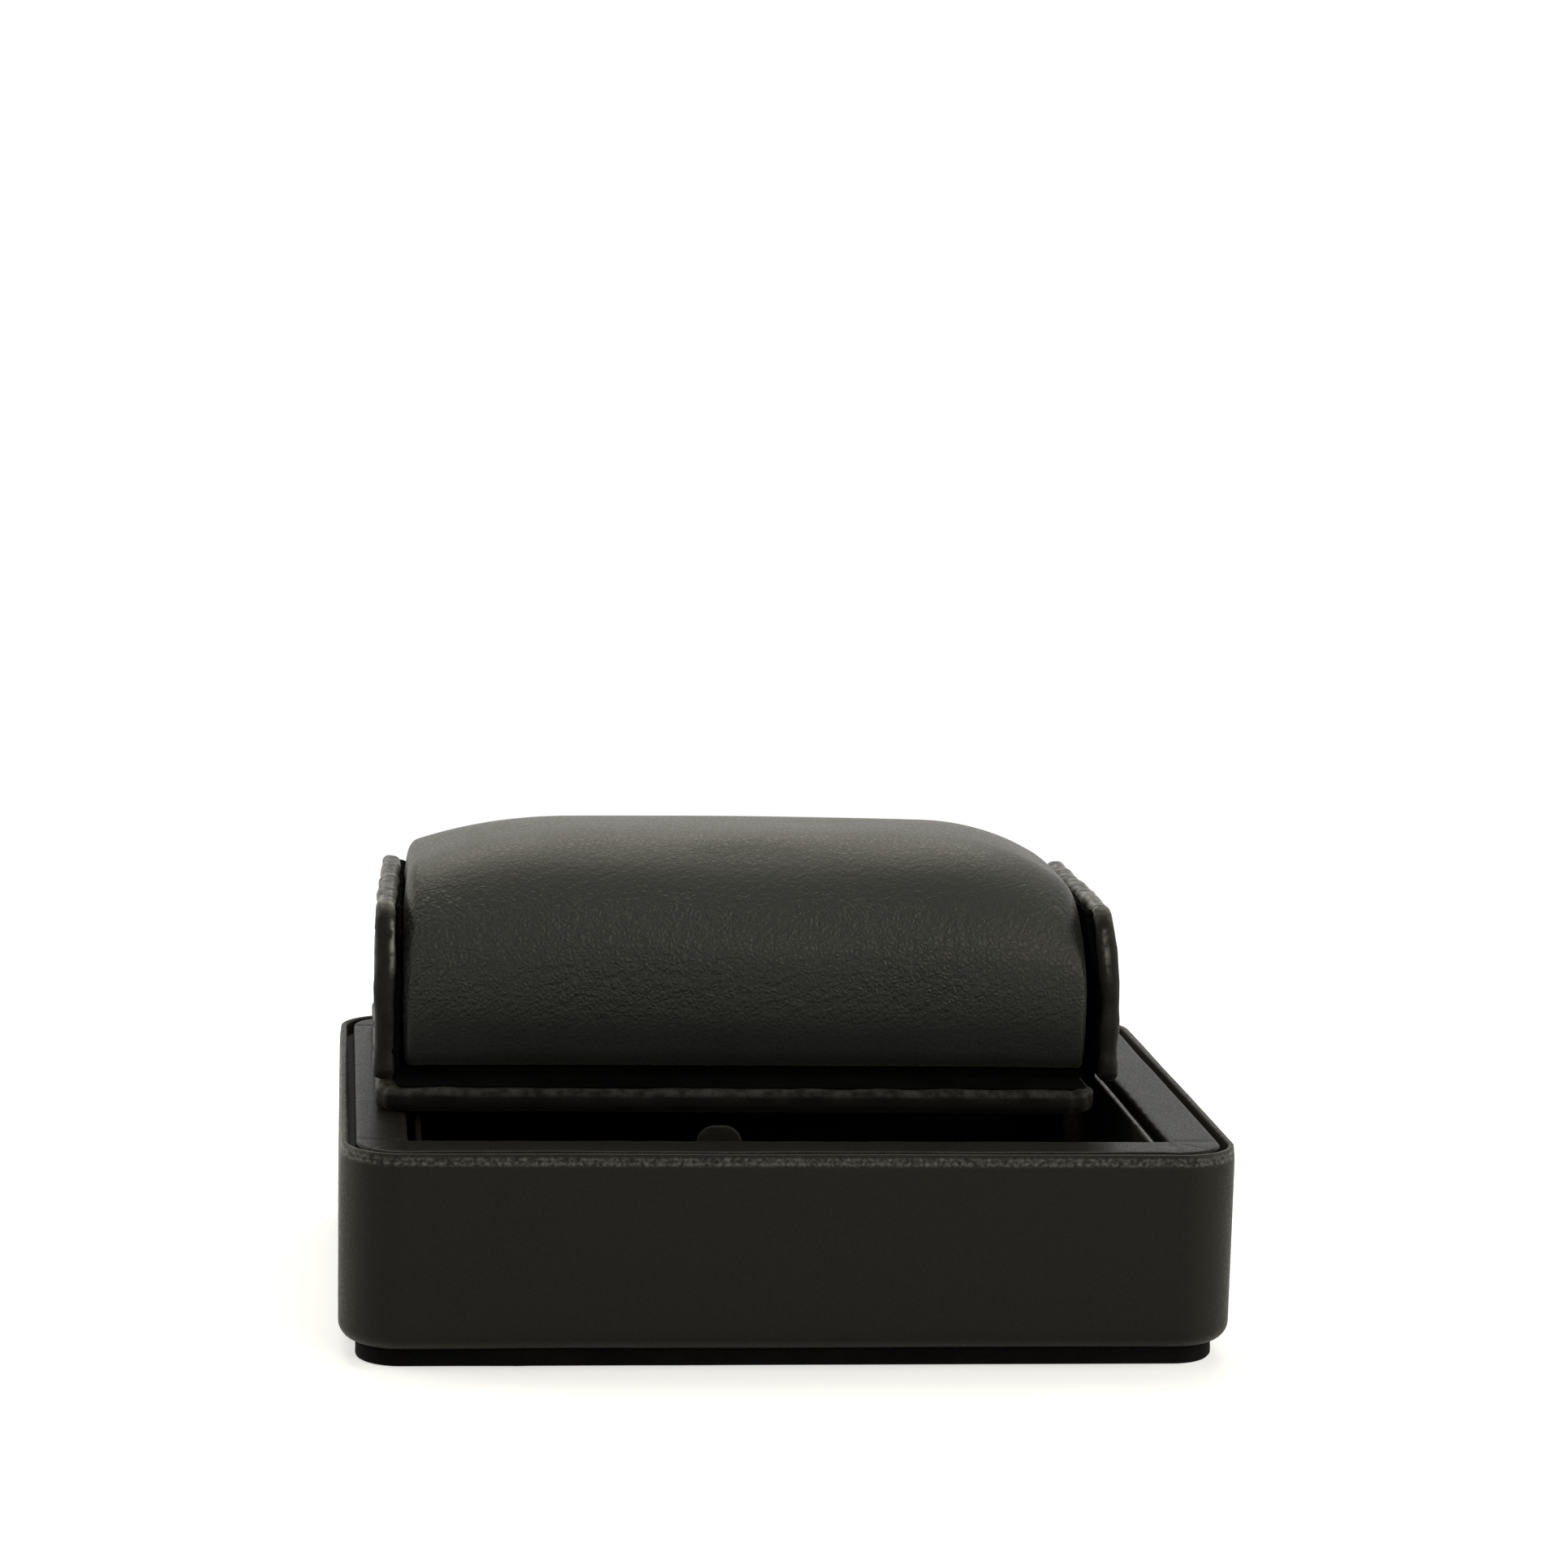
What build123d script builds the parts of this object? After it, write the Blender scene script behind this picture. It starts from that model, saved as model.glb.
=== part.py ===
from build123d import *

import os

# Travel watch stand: an open leather tray, a loose plate with an eared cradle, and a watch pillow.
# The origin is the middle of the tray's underside. X runs along the width, and -Y is the front.

# Tray, outer sizes in millimetres
tray_width = 130.0
tray_depth = 100.0
ledge_height = 31.6
corner_radius = 9.0

# Tray base: a felt-covered board that stands back under the leather wall
foot_gap = 2.8
foot_inset = 2.5
felt_side = 0.6
felt_bottom = 0.8
felt_edge_radius = 0.5

# Tray wall: mitred boards inside a leather band that rolls over a thin lip at the top
leather_side = 1.1
leather_under = 0.8
lip_rise = 0.5
lip_radius = 0.9
wall_edge_radius = 2.6
groove = 1.1
floor_board = 8.65

# Ledge: card frame under mitred leather strips, which turn down over both its edges
ledge_width = 7.45
ledge_card = 1.2
ledge_leather = 1.0
ledge_turn = 0.8
ledge_edge_radius = 0.5
opening_corner_radius = 1.2

# Liner: thin card box with a suede floor
liner_gap = 1.3
liner_wall = 0.8
liner_drop = 0.9
liner_floor = 1.2
suede_sheet = 1.0

# Pull tab on the inner face of the liner's front wall
tab_width = 6.5
tab_thickness = 0.9
tab_rise = 1.6
tab_depth = 8.0
tab_corner_radius = 2.6
tab_offset = -10.3

# Plate: leather-wrapped board, laid against the left and rear of the ledge
rest_gap = 0.1
plate_play = 3.3
plate_left = 5.2
plate_front = 26.4
plate_rear = 3.7
plate_thickness = 3.5
plate_corner_radius = 4.0
plate_edge_radius = 1.2
plate_wrap = 0.6
plate_margin = 8.0

# Cradle: two ears joined by a thin board on the plate
ear_thickness = 3.0
ear_depth = 49.0
ear_height = 26.6
ear_setback = 6.2
ear_overhang_left = 0.4
ear_overhang_right = 4.5
ear_corner_radius = 4.0
ear_edge_radius = 0.9
ear_wrap = 0.8
ear_margin = 8.0
ear_suede = 0.7
suede_margin = 1.1
cradle_board = 1.2
cradle_inset = 3.5

# Watch pillow: crowned cover with sewn-in end panels round a foam core on a stiff panel
soft_gap = 0.3
pillow_end_gap = 1.65
pillow_depth = 49.0
pillow_height = 33.8
pillow_shoulder = 15.0
pillow_tuck = 4.0
pillow_side_bulge = 0.6
pillow_crown = 2.0
pillow_end_drop = 5.3
pillow_end_draw = 1.2
crown_reach = 19.0
draw_reach = 19.0
crown_sections = 5
end_panel = 0.8
cover_padding = 4.0
foam_side = 9.0
foam_edge_radius = 6.0
base_panel = 1.2


def slab(width, depth, radius, low, high):
    """Upright block with a rounded rectangle as its plan, centred on the origin."""
    return extrude(Pos(0, 0, low) * RectangleRounded(width, depth, radius), high - low)


def block(low_corner, high_corner):
    """Plain box between two corners."""
    size = [high - low for low, high in zip(low_corner, high_corner)]
    centre = [(high + low) / 2 for low, high in zip(low_corner, high_corner)]
    return Pos(*centre) * Box(*size)


def mitred(ring, outer, inner, low, high):
    """Cuts a rectangular ring into its front, rear, left and right, mitred from outer to inner corners."""
    outer_x, outer_y = outer
    inner_x, inner_y = inner
    wedges = {
        "front": [(-outer_x, -outer_y), (outer_x, -outer_y), (inner_x, -inner_y), (-inner_x, -inner_y)],
        "rear": [(-outer_x, outer_y), (-inner_x, inner_y), (inner_x, inner_y), (outer_x, outer_y)],
        "left": [(-outer_x, -outer_y), (-inner_x, -inner_y), (-inner_x, inner_y), (-outer_x, outer_y)],
        "right": [(outer_x, -outer_y), (outer_x, outer_y), (inner_x, inner_y), (inner_x, -inner_y)],
    }
    pieces = {}
    for side, points in wedges.items():
        wedge = extrude(Pos(0, 0, low) * Polygon(*points, align=None), high - low)
        pieces[side] = ring & wedge
    return pieces


def bottom_edges(solid):
    """Edges of a solid's lowest face."""
    return solid.faces().sort_by(Axis.Z)[0].edges()


def top_edges(solid):
    """Edges of a solid's highest face."""
    return solid.faces().sort_by(Axis.Z)[-1].edges()


# Plan sizes that several pieces share
core_x = tray_width / 2 - leather_side
core_y = tray_depth / 2 - leather_side
core_radius = corner_radius - leather_side
ledge_x = core_x - groove
ledge_y = core_y - groove
opening_x = ledge_x - ledge_width
opening_y = ledge_y - ledge_width
liner_x = opening_x - liner_gap
liner_y = opening_y - liner_gap
pit_x = liner_x - liner_wall
pit_y = liner_y - liner_wall

# Heights that several pieces share
lip_top = ledge_height + lip_rise
ledge_bottom = ledge_height - ledge_leather - ledge_card
wall_bottom = foot_gap + leather_under
floor_top = foot_gap + floor_board
liner_top = ledge_height - liner_drop
plate_bottom = ledge_height + rest_gap
plate_top = plate_bottom + plate_thickness
pillow_bottom = plate_top + cradle_board + soft_gap


def make_base():
    """Felt skin that the tray stands on, and the board inside it."""
    width = tray_width - 2 * foot_inset
    depth = tray_depth - 2 * foot_inset
    radius = corner_radius - foot_inset
    board = slab(
        width - 2 * felt_side, depth - 2 * felt_side, radius - felt_side, felt_bottom, foot_gap
    )
    skin = slab(width, depth, radius, 0, foot_gap)
    skin = fillet(bottom_edges(skin), felt_edge_radius)
    return {"base_felt": skin - board, "base_board": board}


def make_walls():
    """Leather band, the four wall boards inside it and the floor board between them."""
    band = slab(tray_width, tray_depth, corner_radius, foot_gap, lip_top)
    band = fillet(bottom_edges(band), wall_edge_radius)
    band = fillet(top_edges(band), lip_radius)
    core = slab(2 * core_x, 2 * core_y, core_radius, wall_bottom, lip_top)
    core = fillet(bottom_edges(core), wall_edge_radius - leather_side)
    cavity = slab(2 * opening_x, 2 * opening_y, opening_corner_radius, foot_gap, lip_top)
    band = band - core - cavity
    below_ledge = slab(tray_width, tray_depth, corner_radius, 0, ledge_bottom)
    ring = (core & below_ledge) - cavity
    boards = mitred(ring, (core_x, core_y), (opening_x, opening_y), 0, lip_top)
    floor = slab(2 * opening_x, 2 * opening_y, opening_corner_radius, foot_gap, floor_top)
    nodes = {"wall_leather": band, "tray_floor": floor}
    for side, board in boards.items():
        nodes["wall_" + side] = board
    return nodes


def make_ledge():
    """Card frame and the mitred leather strips that turn down over its inner and outer edges."""
    radius = core_radius - groove
    ring = slab(2 * ledge_x, 2 * ledge_y, radius, ledge_bottom, ledge_height)
    ring -= slab(2 * opening_x, 2 * opening_y, opening_corner_radius, ledge_bottom, ledge_height)
    ring = fillet(top_edges(ring), ledge_edge_radius)
    card_top = ledge_bottom + ledge_card
    card = slab(
        2 * (ledge_x - ledge_turn), 2 * (ledge_y - ledge_turn), radius - ledge_turn, ledge_bottom, card_top
    )
    card -= slab(
        2 * (opening_x + ledge_turn),
        2 * (opening_y + ledge_turn),
        opening_corner_radius + ledge_turn,
        ledge_bottom,
        card_top,
    )
    strips = mitred(ring - card, (ledge_x, ledge_y), (opening_x, opening_y), 0, lip_top)
    nodes = {"ledge_board": card}
    for side, strip in strips.items():
        nodes["ledge_" + side] = strip
    return nodes


def make_liner():
    """Four liner walls, the liner's floor with its suede sheet, and the pull tab."""
    suede_bottom = floor_top + liner_floor
    nodes = {
        "liner_front": block((-liner_x, -liner_y, floor_top), (liner_x, -pit_y, liner_top)),
        "liner_rear": block((-liner_x, pit_y, floor_top), (liner_x, liner_y, liner_top)),
        "liner_left": block((-liner_x, -pit_y, floor_top), (-pit_x, pit_y, liner_top)),
        "liner_right": block((pit_x, -pit_y, floor_top), (liner_x, pit_y, liner_top)),
        "liner_floor": block((-pit_x, -pit_y, floor_top), (pit_x, pit_y, suede_bottom)),
        "floor_suede": block((-pit_x, -pit_y, suede_bottom), (pit_x, pit_y, suede_bottom + suede_sheet)),
    }
    tab_height = tab_depth + tab_rise
    tab_face = Plane.XZ * RectangleRounded(tab_width, tab_height, tab_corner_radius)
    tab = extrude(tab_face, -tab_thickness)
    tab_middle = ledge_height + tab_rise - tab_height / 2
    nodes["pull_tab"] = Pos(tab_offset, -pit_y, tab_middle) * tab
    return nodes


# Places of the plate and of the cradle's two ears
plate_x = -tray_width / 2 + plate_left
plate_width = 2 * opening_x - plate_play
plate_y = -tray_depth / 2 + plate_front
plate_depth = tray_depth - plate_front - plate_rear
left_ear_x = plate_x - ear_overhang_left
right_ear_x = plate_x + plate_width + ear_overhang_right
ear_y = plate_y + ear_setback


def make_plate():
    """Board, the leather wrapped round it, and the suede that lies between the leather's margins."""
    middle = Pos(plate_x + plate_width / 2, plate_y + plate_depth / 2)
    wrap = slab(plate_width, plate_depth, plate_corner_radius, plate_bottom, plate_top)
    wrap = fillet(bottom_edges(wrap) + top_edges(wrap), plate_edge_radius)
    board = slab(
        plate_width - 2 * plate_wrap,
        plate_depth - 2 * plate_wrap,
        plate_corner_radius - plate_wrap,
        plate_bottom + plate_wrap,
        plate_top - plate_wrap,
    )
    lining = slab(
        plate_width - 2 * plate_margin,
        plate_depth - 2 * plate_margin,
        plate_corner_radius,
        plate_bottom,
        plate_bottom + plate_wrap,
    )
    return {
        "plate_leather": middle * (wrap - board - lining),
        "plate_board": middle * board,
        "plate_lining": middle * lining,
    }


def ear_slab(depth, height, corner, thickness):
    """Upright slab from X = 0, with its two upper corners rounded, standing on Z = 0."""
    face = Rectangle(depth, height)
    face = fillet(face.vertices().sort_by(Axis.Y)[-2:], corner)
    return extrude(Plane.YZ * Pos(0, height / 2) * face, thickness)


def make_ear():
    """Leather wrap, board and suede lining of the left ear, with its outer face at X = 0."""
    wrap = ear_slab(ear_depth, ear_height, ear_corner_radius, ear_thickness)
    outer_edges = wrap.faces().sort_by(Axis.X)[0].edges()
    inner_edges = wrap.faces().sort_by(Axis.X)[-1].edges().sort_by(Axis.Z)[1:]
    wrap = fillet(outer_edges + inner_edges, ear_edge_radius)
    board = Pos(ear_wrap, 0, ear_wrap) * ear_slab(
        ear_depth - 2 * ear_wrap,
        ear_height - 2 * ear_wrap,
        ear_corner_radius - ear_wrap,
        ear_thickness - 2 * ear_wrap,
    )
    backing = Pos(ear_thickness - ear_wrap, 0, ear_margin) * ear_slab(
        ear_depth - 2 * ear_margin, ear_height - 2 * ear_margin, ear_edge_radius, ear_wrap
    )
    suede_bottom = cradle_board + soft_gap
    sheet = Pos(ear_thickness, 0, suede_bottom) * ear_slab(
        ear_depth - 2 * suede_margin,
        ear_height - suede_bottom - suede_margin,
        ear_corner_radius - suede_margin,
        ear_suede,
    )
    return {"leather": wrap - board - backing, "board": board, "lining": backing + sheet}


def make_cradle():
    """Both ears and the thin board on the plate that joins them under the pillow."""
    middle_y = ear_y + ear_depth / 2
    nodes = {}
    for name, piece in make_ear().items():
        nodes["ear_left_" + name] = Pos(left_ear_x, middle_y, plate_top) * piece
        nodes["ear_right_" + name] = Pos(right_ear_x, middle_y, plate_top) * mirror(piece, Plane.YZ)
    nodes["cradle_base"] = block(
        (left_ear_x + ear_thickness, ear_y + cradle_inset, plate_top),
        (right_ear_x - ear_thickness, ear_y + ear_depth - cradle_inset, plate_top + cradle_board),
    )
    return nodes


def pillow_section(place, half_length):
    """Closed outline of the pillow across X = place, drawn in and lowered towards the ends."""
    from_end = half_length - abs(place)
    lowered = pillow_end_drop * (max(crown_reach - from_end, 0) / crown_reach) ** 2
    drawn_in = pillow_end_draw * (max(draw_reach - from_end, 0) / draw_reach) ** 2
    side = pillow_depth / 2 - pillow_side_bulge - drawn_in
    bulge = side + pillow_side_bulge
    top = pillow_height - lowered
    corner = top - pillow_crown
    outline = [
        Line((-side, 0), (side, 0)),
        ThreePointArc((side, 0), (bulge, corner / 2), (side, corner)),
        ThreePointArc((side, corner), (0, top), (-side, corner)),
        ThreePointArc((-side, corner), (-bulge, corner / 2), (-side, 0)),
    ]
    face = make_face(Curve() + outline)
    face = fillet(face.vertices().sort_by(Axis.Y)[:2], pillow_tuck)
    face = fillet(face.vertices().sort_by(Axis.Y)[-2:], pillow_shoulder)
    return Plane.YZ.offset(place) * face


def make_pillow():
    """Crowned cover, end panels, foam core and the stiff panel in the flat underside."""
    low_x = left_ear_x + ear_thickness + pillow_end_gap
    high_x = right_ear_x - ear_thickness - pillow_end_gap
    half_length = (high_x - low_x) / 2
    seam = half_length - end_panel
    straight = half_length - crown_reach
    step = (seam - straight) / crown_sections
    rise = [pillow_section(straight + step * count, half_length) for count in range(crown_sections + 1)]
    right_end = loft(rise)
    straight_part = extrude(pillow_section(-straight, half_length), 2 * straight)
    cover = straight_part + right_end + mirror(right_end, Plane.YZ)
    foam_x = seam - cover_padding
    foam_y = pillow_depth / 2 - foam_side
    foam_top = pillow_height - pillow_end_drop - pillow_crown - cover_padding
    foam = block((-foam_x, -foam_y, base_panel), (foam_x, foam_y, foam_top))
    foam = fillet(top_edges(foam), foam_edge_radius)
    panel = block((-foam_x, -foam_y + cover_padding, 0), (foam_x, foam_y - cover_padding, base_panel))
    pieces = {
        "pillow_cover": cover - foam - panel,
        "pillow_foam": foam,
        "pillow_base": panel,
        "pillow_end_left": extrude(pillow_section(-seam, half_length), -end_panel),
        "pillow_end_right": extrude(pillow_section(seam, half_length), end_panel),
    }
    middle = Pos((low_x + high_x) / 2, ear_y + ear_depth / 2, pillow_bottom)
    return {name: middle * piece for name, piece in pieces.items()}


def main():
    """Builds each sub-part and writes one STEP file for each."""
    nodes = {}
    for make in (make_base, make_walls, make_ledge, make_liner, make_plate, make_cradle, make_pillow):
        nodes.update(make())
    os.makedirs("parts", exist_ok=True)
    for name, shape in nodes.items():
        export_step(shape, "parts/" + name + ".step")
    print(len(nodes), "sub-parts written")


if __name__ == "__main__":
    main()
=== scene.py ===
import logging
import math
from dataclasses import dataclass
from enum import Enum
from typing import Callable

import bmesh
import bpy
import numpy as np
from mathutils import Matrix, Vector


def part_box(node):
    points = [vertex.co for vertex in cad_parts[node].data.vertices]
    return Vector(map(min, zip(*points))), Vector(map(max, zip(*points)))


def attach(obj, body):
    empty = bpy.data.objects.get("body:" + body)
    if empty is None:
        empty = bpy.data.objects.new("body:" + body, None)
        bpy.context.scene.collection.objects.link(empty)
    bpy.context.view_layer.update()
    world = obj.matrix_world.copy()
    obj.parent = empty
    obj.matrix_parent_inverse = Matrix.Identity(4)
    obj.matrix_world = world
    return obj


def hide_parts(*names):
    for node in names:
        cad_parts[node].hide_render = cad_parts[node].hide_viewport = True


# Travel watch stand: an open leather tray, a loose plate with an eared cradle, and a watch pillow.
# Lengths are in metres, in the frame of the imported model: X is the width, and -Y is the front.

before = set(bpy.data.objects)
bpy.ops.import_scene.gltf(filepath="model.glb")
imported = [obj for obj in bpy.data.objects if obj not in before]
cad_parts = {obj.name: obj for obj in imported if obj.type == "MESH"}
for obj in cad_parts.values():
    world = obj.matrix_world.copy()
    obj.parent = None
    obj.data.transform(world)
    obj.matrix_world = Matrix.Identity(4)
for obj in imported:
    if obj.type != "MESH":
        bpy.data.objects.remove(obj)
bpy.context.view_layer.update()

MM = 0.001
log = logging.getLogger("travel_watch_stand")

Colour = tuple[float, float, float]
Shift = Callable[[np.ndarray, np.ndarray], np.ndarray]


class Body(Enum):
    """Rigid bodies that pieces ride on."""

    TRAY = "root"
    STAND = "stand"
    PILLOW = "pillow"


class Slot(Enum):
    """Material slots of the record."""

    SMOOTH_LEATHER = "smooth_leather"
    LEDGE_LEATHER = "ledge_leather"
    SUEDE = "black_suede"
    FELT = "black_felt"
    BOARD = "fibre_board"
    CARD = "card"
    FOAM = "foam"
    TAB_LEATHER = "tab_leather"


class Side(Enum):
    """The two ears, by the sign of their outward X direction."""

    LEFT = -1
    RIGHT = 1


class Net:
    """Adds nodes to one shader tree and joins them."""

    def __init__(self, tree: bpy.types.NodeTree) -> None:
        """Keeps the tree that receives the nodes."""
        self.tree = tree

    def add(self, kind: str, inputs: dict | None = None, **settings: object) -> bpy.types.Node:
        """Adds a node.

        Args:
            kind: the node's type, without its ShaderNode prefix.
            inputs: socket name or number, with a value or a socket to link.
            settings: properties of the node.

        Returns:
            The new node.
        """
        prefix = "" if kind.startswith("NodeGroup") else "ShaderNode"
        node = self.tree.nodes.new(prefix + kind)
        for name, value in settings.items():
            setattr(node, name, value)
        self.feed(node, inputs or {})
        return node

    def feed(self, node: bpy.types.Node, inputs: dict) -> None:
        """Sets or links a node's inputs.

        Args:
            node: the node.
            inputs: socket name or number, with a value or a socket to link.
        """
        for name, value in inputs.items():
            if isinstance(value, bpy.types.NodeSocket):
                self.tree.links.new(value, node.inputs[name])
            else:
                node.inputs[name].default_value = value

    def math(self, operation: str, *values: object) -> bpy.types.NodeSocket:
        """Adds a Math node and returns its output."""
        return self.add("Math", dict(enumerate(values)), operation=operation).outputs[0]

    def vector(self, operation: str, *values: object) -> bpy.types.NodeSocket:
        """Adds a Vector Math node and returns its vector output."""
        return self.add("VectorMath", dict(enumerate(values)), operation=operation).outputs[0]

    def blend(self, factor: object, low: object, high: object) -> bpy.types.NodeSocket:
        """Adds a colour Mix node and returns its colour output."""
        return self.add("Mix", {0: factor, 6: low, 7: high}, data_type="RGBA").outputs[2]

    def ramp(self, value: object, low: float, high: float) -> bpy.types.NodeSocket:
        """Adds a smooth Map Range node from low and high to 0 and 1, and returns its output."""
        limits = {"Value": value, "From Min": low, "From Max": high}
        return self.add("MapRange", limits, interpolation_type="SMOOTHSTEP").outputs["Result"]


class Effect:
    """Shader node group that finishes share. It is built the first time that it is asked for."""

    title = "effect"
    inputs: dict[str, float] = {}
    outputs: tuple[str, ...] = ()

    def wire(self, net: Net, given: bpy.types.NodeOutputs) -> dict[str, bpy.types.NodeSocket]:
        """Builds the group's inside. Each effect has its own.

        Args:
            net: the group's nodes.
            given: the group's inputs.

        Returns:
            A socket for each of the group's outputs.
        """
        raise NotImplementedError

    def tree(self) -> bpy.types.NodeTree:
        """Finds or builds the node group.

        Returns:
            The group, which every material shares.
        """
        found = bpy.data.node_groups.get(self.title)
        if found:
            return found
        tree = bpy.data.node_groups.new(self.title, "ShaderNodeTree")
        for label, value in self.inputs.items():
            socket = tree.interface.new_socket(label, in_out="INPUT", socket_type="NodeSocketFloat")
            socket.default_value = value
        for label in self.outputs:
            tree.interface.new_socket(label, in_out="OUTPUT", socket_type="NodeSocketFloat")
        net = Net(tree)
        results = self.wire(net, net.add("NodeGroupInput").outputs)
        net.add("NodeGroupOutput", results)
        return tree

    def place(self, net: Net, **values: object) -> bpy.types.NodeOutputs:
        """Places the group in a material.

        Args:
            net: the material's nodes.
            values: the group's inputs, with spaces in their names written as underscores.

        Returns:
            The placed group's outputs.
        """
        inputs = {label.replace("_", " "): value for label, value in values.items()}
        return net.add("Group", inputs, node_tree=self.tree()).outputs


class LeatherGrain(Effect):
    """Pebbled leather grain: rounded cells with creases between them, and finer pores."""

    title = "Leather grain"
    inputs = {"Cell": 1 * MM, "Crease": 0.4}
    outputs = ("Height", "Hollow")

    def wire(self, net: Net, given: bpy.types.NodeOutputs) -> dict[str, bpy.types.NodeSocket]:
        """Wires the grain.

        Args:
            net: the group's nodes.
            given: the group's inputs.

        Returns:
            Its height, and how deep in a hollow each place lies.
        """
        cell = given["Cell"]
        place = net.add("TexCoord").outputs["Object"]
        slow = net.add("TexNoise", {"Vector": place, "Scale": net.math("DIVIDE", 0.45, cell), "Detail": 2.0})
        swing = net.vector("SUBTRACT", slow.outputs["Color"], (0.5, 0.5, 0.5))
        reach = net.math("MULTIPLY", cell, 1.6)
        bent = net.vector("ADD", place, net.add(
            "VectorMath", {0: swing, "Scale": reach}, operation="SCALE").outputs[0])
        scale = net.math("DIVIDE", 1.0, cell)
        cells = net.add("TexVoronoi", {"Vector": bent, "Scale": scale}, feature="DISTANCE_TO_EDGE")
        pebble = net.ramp(cells.outputs["Distance"], 0.0, 0.32)
        fine_scale = net.math("DIVIDE", 3.2, cell)
        fine = net.add("TexNoise", {"Vector": place, "Scale": fine_scale, "Detail": 3.0}).outputs[0]
        turned = net.add("VectorRotate", {"Vector": bent, "Angle": 0.7}, rotation_type="Y_AXIS").outputs[0]
        long_place = net.vector("MULTIPLY", turned, (0.42, 1.0, 1.0))
        fold_scale = net.math("DIVIDE", 0.9, cell)
        folds = net.add("TexNoise", {"Vector": long_place, "Scale": fold_scale, "Detail": 1.5})
        crease = net.math("MULTIPLY", net.ramp(folds.outputs[0], 0.36, 0.6), given["Crease"])
        height = net.math("ADD", net.math("MULTIPLY", pebble, 0.55), net.math("MULTIPLY", fine, 0.3))
        return {"Height": net.math("ADD", height, crease), "Hollow": net.math("SUBTRACT", 1.0, pebble)}


class ToneDrift(Effect):
    """Slow change of tone over a surface, around 1."""

    title = "Tone drift"
    inputs = {"Size": 20 * MM, "Amount": 0.2}
    outputs = ("Factor",)

    def wire(self, net: Net, given: bpy.types.NodeOutputs) -> dict[str, bpy.types.NodeSocket]:
        """Wires the drift.

        Args:
            net: the group's nodes.
            given: the group's inputs.

        Returns:
            A factor for the colour.
        """
        place = net.add("TexCoord").outputs["Object"]
        scale = net.math("DIVIDE", 1.0, given["Size"])
        cloud = net.add("TexNoise", {"Vector": place, "Scale": scale, "Detail": 4.0, "Roughness": 0.6})
        swing = net.math("MULTIPLY", net.math("SUBTRACT", cloud.outputs[0], 0.5), 2.0)
        return {"Factor": net.math("MULTIPLY_ADD", swing, given["Amount"], 1.0)}


class EdgeRubAndHighlight(Effect):
    """Scuffed edges and painted highlights, from the wear_and_highlight mark that each piece's mesh carries,
    broken up by a fine pattern.
    """

    title = "Edge rub"
    inputs = {"Amount": 0.5, "Grit": 1.5 * MM}
    outputs = ("Mask",)

    def wire(self, net: Net, given: bpy.types.NodeOutputs) -> dict[str, bpy.types.NodeSocket]:
        """Wires the edge marks.

        Args:
            net: the group's nodes.
            given: the group's inputs.

        Returns:
            How much edge scuffing and painted highlight each place carries.
        """
        wear_and_highlight = net.add("Attribute", attribute_name="wear_and_highlight").outputs["Fac"]
        place = net.add("TexCoord").outputs["Object"]
        scale = net.math("DIVIDE", 1.0, given["Grit"])
        grit = net.add("TexNoise", {"Vector": place, "Scale": scale, "Detail": 5.0}).outputs[0]
        broken = net.math("MULTIPLY", wear_and_highlight, net.ramp(grit, 0.3, 0.7))
        return {"Mask": net.math("MULTIPLY", broken, given["Amount"])}


class Nap(Effect):
    """Short brushed pile of suede and felt."""

    title = "Nap"
    inputs = {"Size": 0.5 * MM, "Brush": 1.0}
    outputs = ("Height", "Shade")

    def wire(self, net: Net, given: bpy.types.NodeOutputs) -> dict[str, bpy.types.NodeSocket]:
        """Wires the pile.

        Args:
            net: the group's nodes.
            given: the group's inputs.

        Returns:
            Its height and its shade.
        """
        place = net.add("TexCoord").outputs["Object"]
        scale = net.math("DIVIDE", 1.0, given["Size"])
        strokes = net.vector("MULTIPLY", place, (0.45, 1.0, 0.8))
        pile = net.add("TexNoise", {"Vector": strokes, "Scale": scale, "Detail": 6.0, "Roughness": 0.7})
        patch_scale = net.math("MULTIPLY", scale, 0.06)
        patch = net.add("TexNoise", {"Vector": place, "Scale": patch_scale, "Detail": 3.0})
        shade = net.math("MULTIPLY", net.math("SUBTRACT", patch.outputs[0], 0.5), given["Brush"])
        return {"Height": pile.outputs[0], "Shade": net.math("ADD", shade, pile.outputs[0])}


class Fibre(Effect):
    """Pressed fibres of board, card and foam."""

    title = "Fibre"
    inputs = {"Size": 0.6 * MM}
    outputs = ("Height", "Shade")

    def wire(self, net: Net, given: bpy.types.NodeOutputs) -> dict[str, bpy.types.NodeSocket]:
        """Wires the fibres.

        Args:
            net: the group's nodes.
            given: the group's inputs.

        Returns:
            Their height and their shade.
        """
        place = net.add("TexCoord").outputs["Object"]
        scale = net.math("DIVIDE", 1.0, given["Size"])
        threads = net.vector("MULTIPLY", place, (0.25, 1.0, 0.7))
        strands = net.add("TexNoise", {"Vector": threads, "Scale": scale, "Detail": 5.0, "Roughness": 0.65})
        flecks = net.add("TexVoronoi", {"Vector": place, "Scale": net.math("MULTIPLY", scale, 0.5)})
        height = net.math("MULTIPLY_ADD", flecks.outputs["Distance"], 0.3, strands.outputs[0])
        return {"Height": height, "Shade": strands.outputs[0]}


WARM_SHINE: Colour = (1.0, 0.985, 0.88)
WARM_DUST: Colour = (1.0, 0.9, 0.62)


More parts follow.
